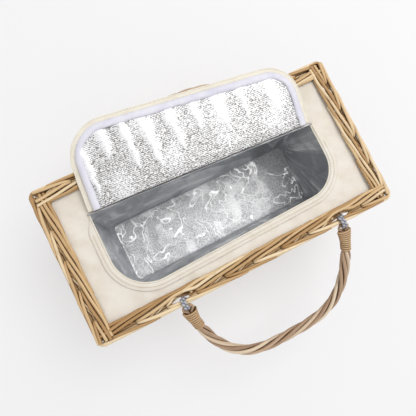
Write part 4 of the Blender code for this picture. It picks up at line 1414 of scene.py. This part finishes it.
def arch():
    """The handle's middle line, flat, from one ring to the other."""
    half = RING_SPACING / 2
    points = [Vector((-half, 0.0, 0.0))]
    for i in range(121):
        angle = math.pi * i / 120
        cosine = math.cos(angle)
        across = -half * math.copysign(abs(cosine) ** (2 / SIDE_POWER), cosine)
        out = ARCH_START + ARCH_HEIGHT * max(math.sin(angle), 0.0) ** (2 / TOP_POWER)
        points.append(Vector((across, out, 0.0)))
    points.append(Vector((half, 0.0, 0.0)))
    return evenly(points, ARCH_POINTS)


ARCH = arch()
ARCH_LENGTH = run_of(ARCH)
UP = Vector((0, 0, 1))


def on_arch(distance):
    """The point at a distance along the middle line, and the way across it."""
    last = ARCH_POINTS - 1
    place = min(max(distance / ARCH_LENGTH * last, 0.0), last - 0.001)
    i = int(place)
    point = ARCH[i].lerp(ARCH[i + 1], place - i)
    way = (ARCH[min(i + 4, last)] - ARCH[max(i - 3, 0)]).normalized()
    return point, way.cross(UP)


def from_ring(from_end, mirror):
    """The distance along the middle line of a place near the left or the right ring."""
    return from_end if mirror < 0 else ARCH_LENGTH - from_end


def bow_routes():
    """The bow's five twisted rods, drawn together under the bindings, and the rod inside them."""
    routes = []
    steps = 150
    bow_length = ARCH_LENGTH - 2 * BOW_START
    for k in range(ROD_COUNT):
        chance = random.Random(70 + k)
        phase = 2 * math.pi * k / ROD_COUNT + chance.uniform(-0.15, 0.15)
        radius = BOW_ROD_RADIUS * chance.uniform(0.9, 1.08)
        route = []
        for i in range(steps + 1):
            distance = BOW_START + bow_length * i / steps
            point, across = on_arch(distance)
            from_end = min(distance, ARCH_LENGTH - distance)
            open_share = clamped((from_end - 0.038) / 0.022)
            helix = BOUND_HELIX + (BOW_HELIX - BOUND_HELIX) * open_share
            helix *= 1 + 0.08 * noise.noise(Vector((distance * 40, k * 3.0, 0.0)))
            angle = phase + 2 * math.pi * distance / TWIST_PITCH
            thin = radius * (0.72 + 0.28 * open_share)
            route.append((point + (across * math.cos(angle) + UP * math.sin(angle)) * helix, thin))
        routes.append(route)
    core = [(on_arch(BOW_START + bow_length * i / 60)[0], CORE_RADIUS) for i in range(61)]
    return routes + [core]


def eye_route(mirror):
    """A rod bent round the ring, its legs drawn together under the binding."""
    centre = EYE_APEX + EYE_BEND
    legs = {-1: [], 1: []}
    for from_end in (0.0195, 0.028, 0.0357):
        point, across = on_arch(from_ring(from_end, mirror))
        for side, leg in legs.items():
            leg.append(point - across * mirror * side * 0.0021)
    middle = Vector((mirror * RING_SPACING / 2, centre, 0))
    bend = []
    for i in range(21):
        angle = math.pi * i / 20
        bend.append(middle - Vector((math.cos(angle), math.sin(angle), 0)) * EYE_BEND)
    points = evenly(legs[-1][::-1] + bend + legs[1], 60)
    return blunt(points, EYE_RADIUS)


def binding_route(mirror):
    """Split cane wound from the eye, where it is wide and flat, to the bow."""
    steps = 26
    route = []
    count = round(CANE_TURNS * steps)
    for i in range(count + 1):
        share = i / count
        from_end = BINDING_START + (BINDING_END - BINDING_START) * share
        point, across = on_arch(from_ring(from_end, mirror))
        flare = max(0.0, 1 - (from_end - BINDING_START) / CANE_FLARE)
        wide = 0.0064 + 0.0032 * flare
        high = 0.0063 - 0.0008 * flare
        angle = 2 * math.pi * i / steps * -mirror
        place = point + across * math.cos(angle) * wide + UP * math.sin(angle) * high
        route.append((place, CANE_RADIUS))
    return route


def ring_route(mirror):
    """Two turns of cord round the border's outer rods and through the eye."""
    steps = 40
    route = []
    for i in range(steps * CORD_TURNS + 1):
        angle = 2 * math.pi * i / steps - math.pi
        across = RING_PITCH * (i / steps - CORD_TURNS / 2) + mirror * RING_SPACING / 2
        out = RING_OFFSET + RING_RADIUS * math.cos(angle)
        route.append(Vector((across, out, RING_RADIUS * math.sin(angle))))
    return blunt(route, RING_CORD)


print(f"handle's middle line {ARCH_LENGTH * 1000:.0f} mm")

# %% Cord material


def cord_material():
    """Grey polypropylene cord: a raised strand winds round it every 5 mm, painted lighter on its top and
    darker in the grooves as shade.
    """
    made, tree, shader = new_material("twisted_cord", 0.5)
    place = stored(tree, "rod")["Vector"]
    parts = add_node(tree, "ShaderNodeSeparateXYZ", {"Vector": place}).outputs
    angle = computed(tree, "ARCTAN2", parts["Y"], parts["X"])
    along = computed(tree, "MULTIPLY", parts["Z"], 2 * math.pi / CORD_TWIST)
    wave = computed(tree, "SINE", computed(tree, "ADD", angle, along))
    raised = ranged(tree, wave, -1.0, 0.4)
    # Painted shade and highlight: darker in the grooves between turns of the strand, lighter on its top.
    painted(tree, shader, coloured(tree, raised, ((0.0, "#77787F"), (0.5, "#9A9BA3"), (1.0, "#BBBCC3"))))
    bumped(tree, shader, raised, 0.0005, 0.8)
    return made


CORD = cord_material()

# %% Hang the handles


def hung(route, side):
    """A flat route turned to where the handle hangs on that side."""
    sign = -1 if side == "front" else 1
    drop = math.radians(HANDLE_DROP[side])
    out = Vector((0, sign * math.cos(drop), -math.sin(drop)))
    across = Vector((1, 0, 0))
    turned = Matrix((across, out, across.cross(out))).transposed()
    origin = Vector((HANDLE_X[side], sign * OUTER_Y, ROPE_Z))
    return [(origin + turned @ point, radius) for point, radius in route]


for side in ("front", "back"):
    body = f"{side}_handle"
    hung_rods = [hung(route, side) for route in bow_routes()]
    bow = rods(f"{side}_bow_rods", hung_rods, HANDLE_WILLOW, 10, 80)
    place_piece(bow, body, "handle_willow", f"{side}_handle_bow")
    for end, mirror in (("left", -1), ("right", 1)):
        eye = rods(f"{side}_eye_rod_{end}", [hung(eye_route(mirror), side)], HANDLE_WILLOW, 10, 81)
        place_piece(eye, body, "handle_willow", f"{side}_handle_eye_{end}")
        bound = rods(f"{side}_cane_{end}", [hung(binding_route(mirror), side)], CANE, 8, 82)
        place_piece(bound, body, "cane", f"{side}_handle_binding_{end}")
        ring = rods(f"{side}_cord_ring_{end}", [hung(ring_route(mirror), side)], CORD, 10, 83)
        place_piece(ring, body, "ring_cord", f"{side}_ring_{end}")

# %% [markdown]
# ## The zip's slider
# The slider is a small zinc casting, plated and worn bright on its edges. Its CAD shape is
# right, so it stays and only gets the metal.

# %% Slider


def slider_material():
    """Plated zinc with a fine grain of wear."""
    made, tree, shader = new_material("plated_zinc", 0.35, 1.0)
    wear = noise_at(tree, object_place(tree), 900.0, 4.0)
    painted(tree, shader, coloured(tree, wear, ((0.35, "#A6A4A0"), (0.65, "#D2D0CC"))))
    bumped(tree, shader, wear, 0.0001, 0.3)
    return made


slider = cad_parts["zip_slider"]
for slot in slider.material_slots:
    slot.material = slider_material()

# %% [markdown]
# ## The studio
# A pale floor, an even white sky and one large soft lamp, high up and a little to the right,
# give the soft light of a catalogue photograph, with only a faint shadow.

# %% Floor, world and lamp
FLOOR_SIZE = 8.0
FLOOR_Z = -0.0008
EVEN_SHARE = 0.5
SKY_STRENGTH = 0.67
LAMP_PLACE = (0.75, 0.28, 2.0)
LAMP_AIM = Vector((0, 0, 0.1))
LAMP_SIZE = 1.3
LAMP_ENERGY = 19.5

bpy.ops.mesh.primitive_plane_add(size=FLOOR_SIZE, location=(0, 0, FLOOR_Z))
floor = bpy.context.object
floor.name = "studio_floor"
floor_material, floor_tree, floor_shader = new_material("matt_paper", 0.95)
floor_tone = noise_at(floor_tree, object_place(floor_tree), 1.5, 2.0)
paper = coloured(floor_tree, floor_tone, ((0.3, "#F3F3F4"), (0.7, "#F6F6F7")))
painted(floor_tree, floor_shader, paper)
# The camera, and what reflects the paper, see it nearer to one even white than it is lit.
light_path = add_node(floor_tree, "ShaderNodeLightPath").outputs
in_shine = computed(
    floor_tree, "MAXIMUM", light_path["Is Glossy Ray"], light_path["Is Transmission Ray"]
)
seen = computed(floor_tree, "MAXIMUM", light_path["Is Camera Ray"], in_shine)
even = computed(floor_tree, "MULTIPLY", seen, EVEN_SHARE)
glow = add_node(
    floor_tree, "ShaderNodeEmission", {"Color": linear("#F9F8F9"), "Strength": 1.0}
).outputs[0]
mixed = add_node(
    floor_tree, "ShaderNodeMixShader", {0: even, 1: floor_shader.outputs[0], 2: glow}
).outputs[0]
floor_tree.links.new(mixed, floor_tree.nodes["Material Output"].inputs["Surface"])
floor.data.materials.append(floor_material)

world = bpy.data.worlds.new("studio_sky")
bpy.context.scene.world = world
world.use_nodes = True
sky = world.node_tree.nodes["Background"]
sky.inputs["Color"].default_value = linear("#FFFFFF")
sky.inputs["Strength"].default_value = SKY_STRENGTH

bpy.ops.object.light_add(type="AREA", location=LAMP_PLACE)
lamp = bpy.context.object
lamp.data.shape = "DISK"
lamp.data.size = LAMP_SIZE
lamp.data.energy = LAMP_ENERGY
lamp.rotation_euler = (LAMP_AIM - lamp.location).to_track_quat("-Z", "Y").to_euler()

bpy.context.scene.view_settings.view_transform = "Standard"
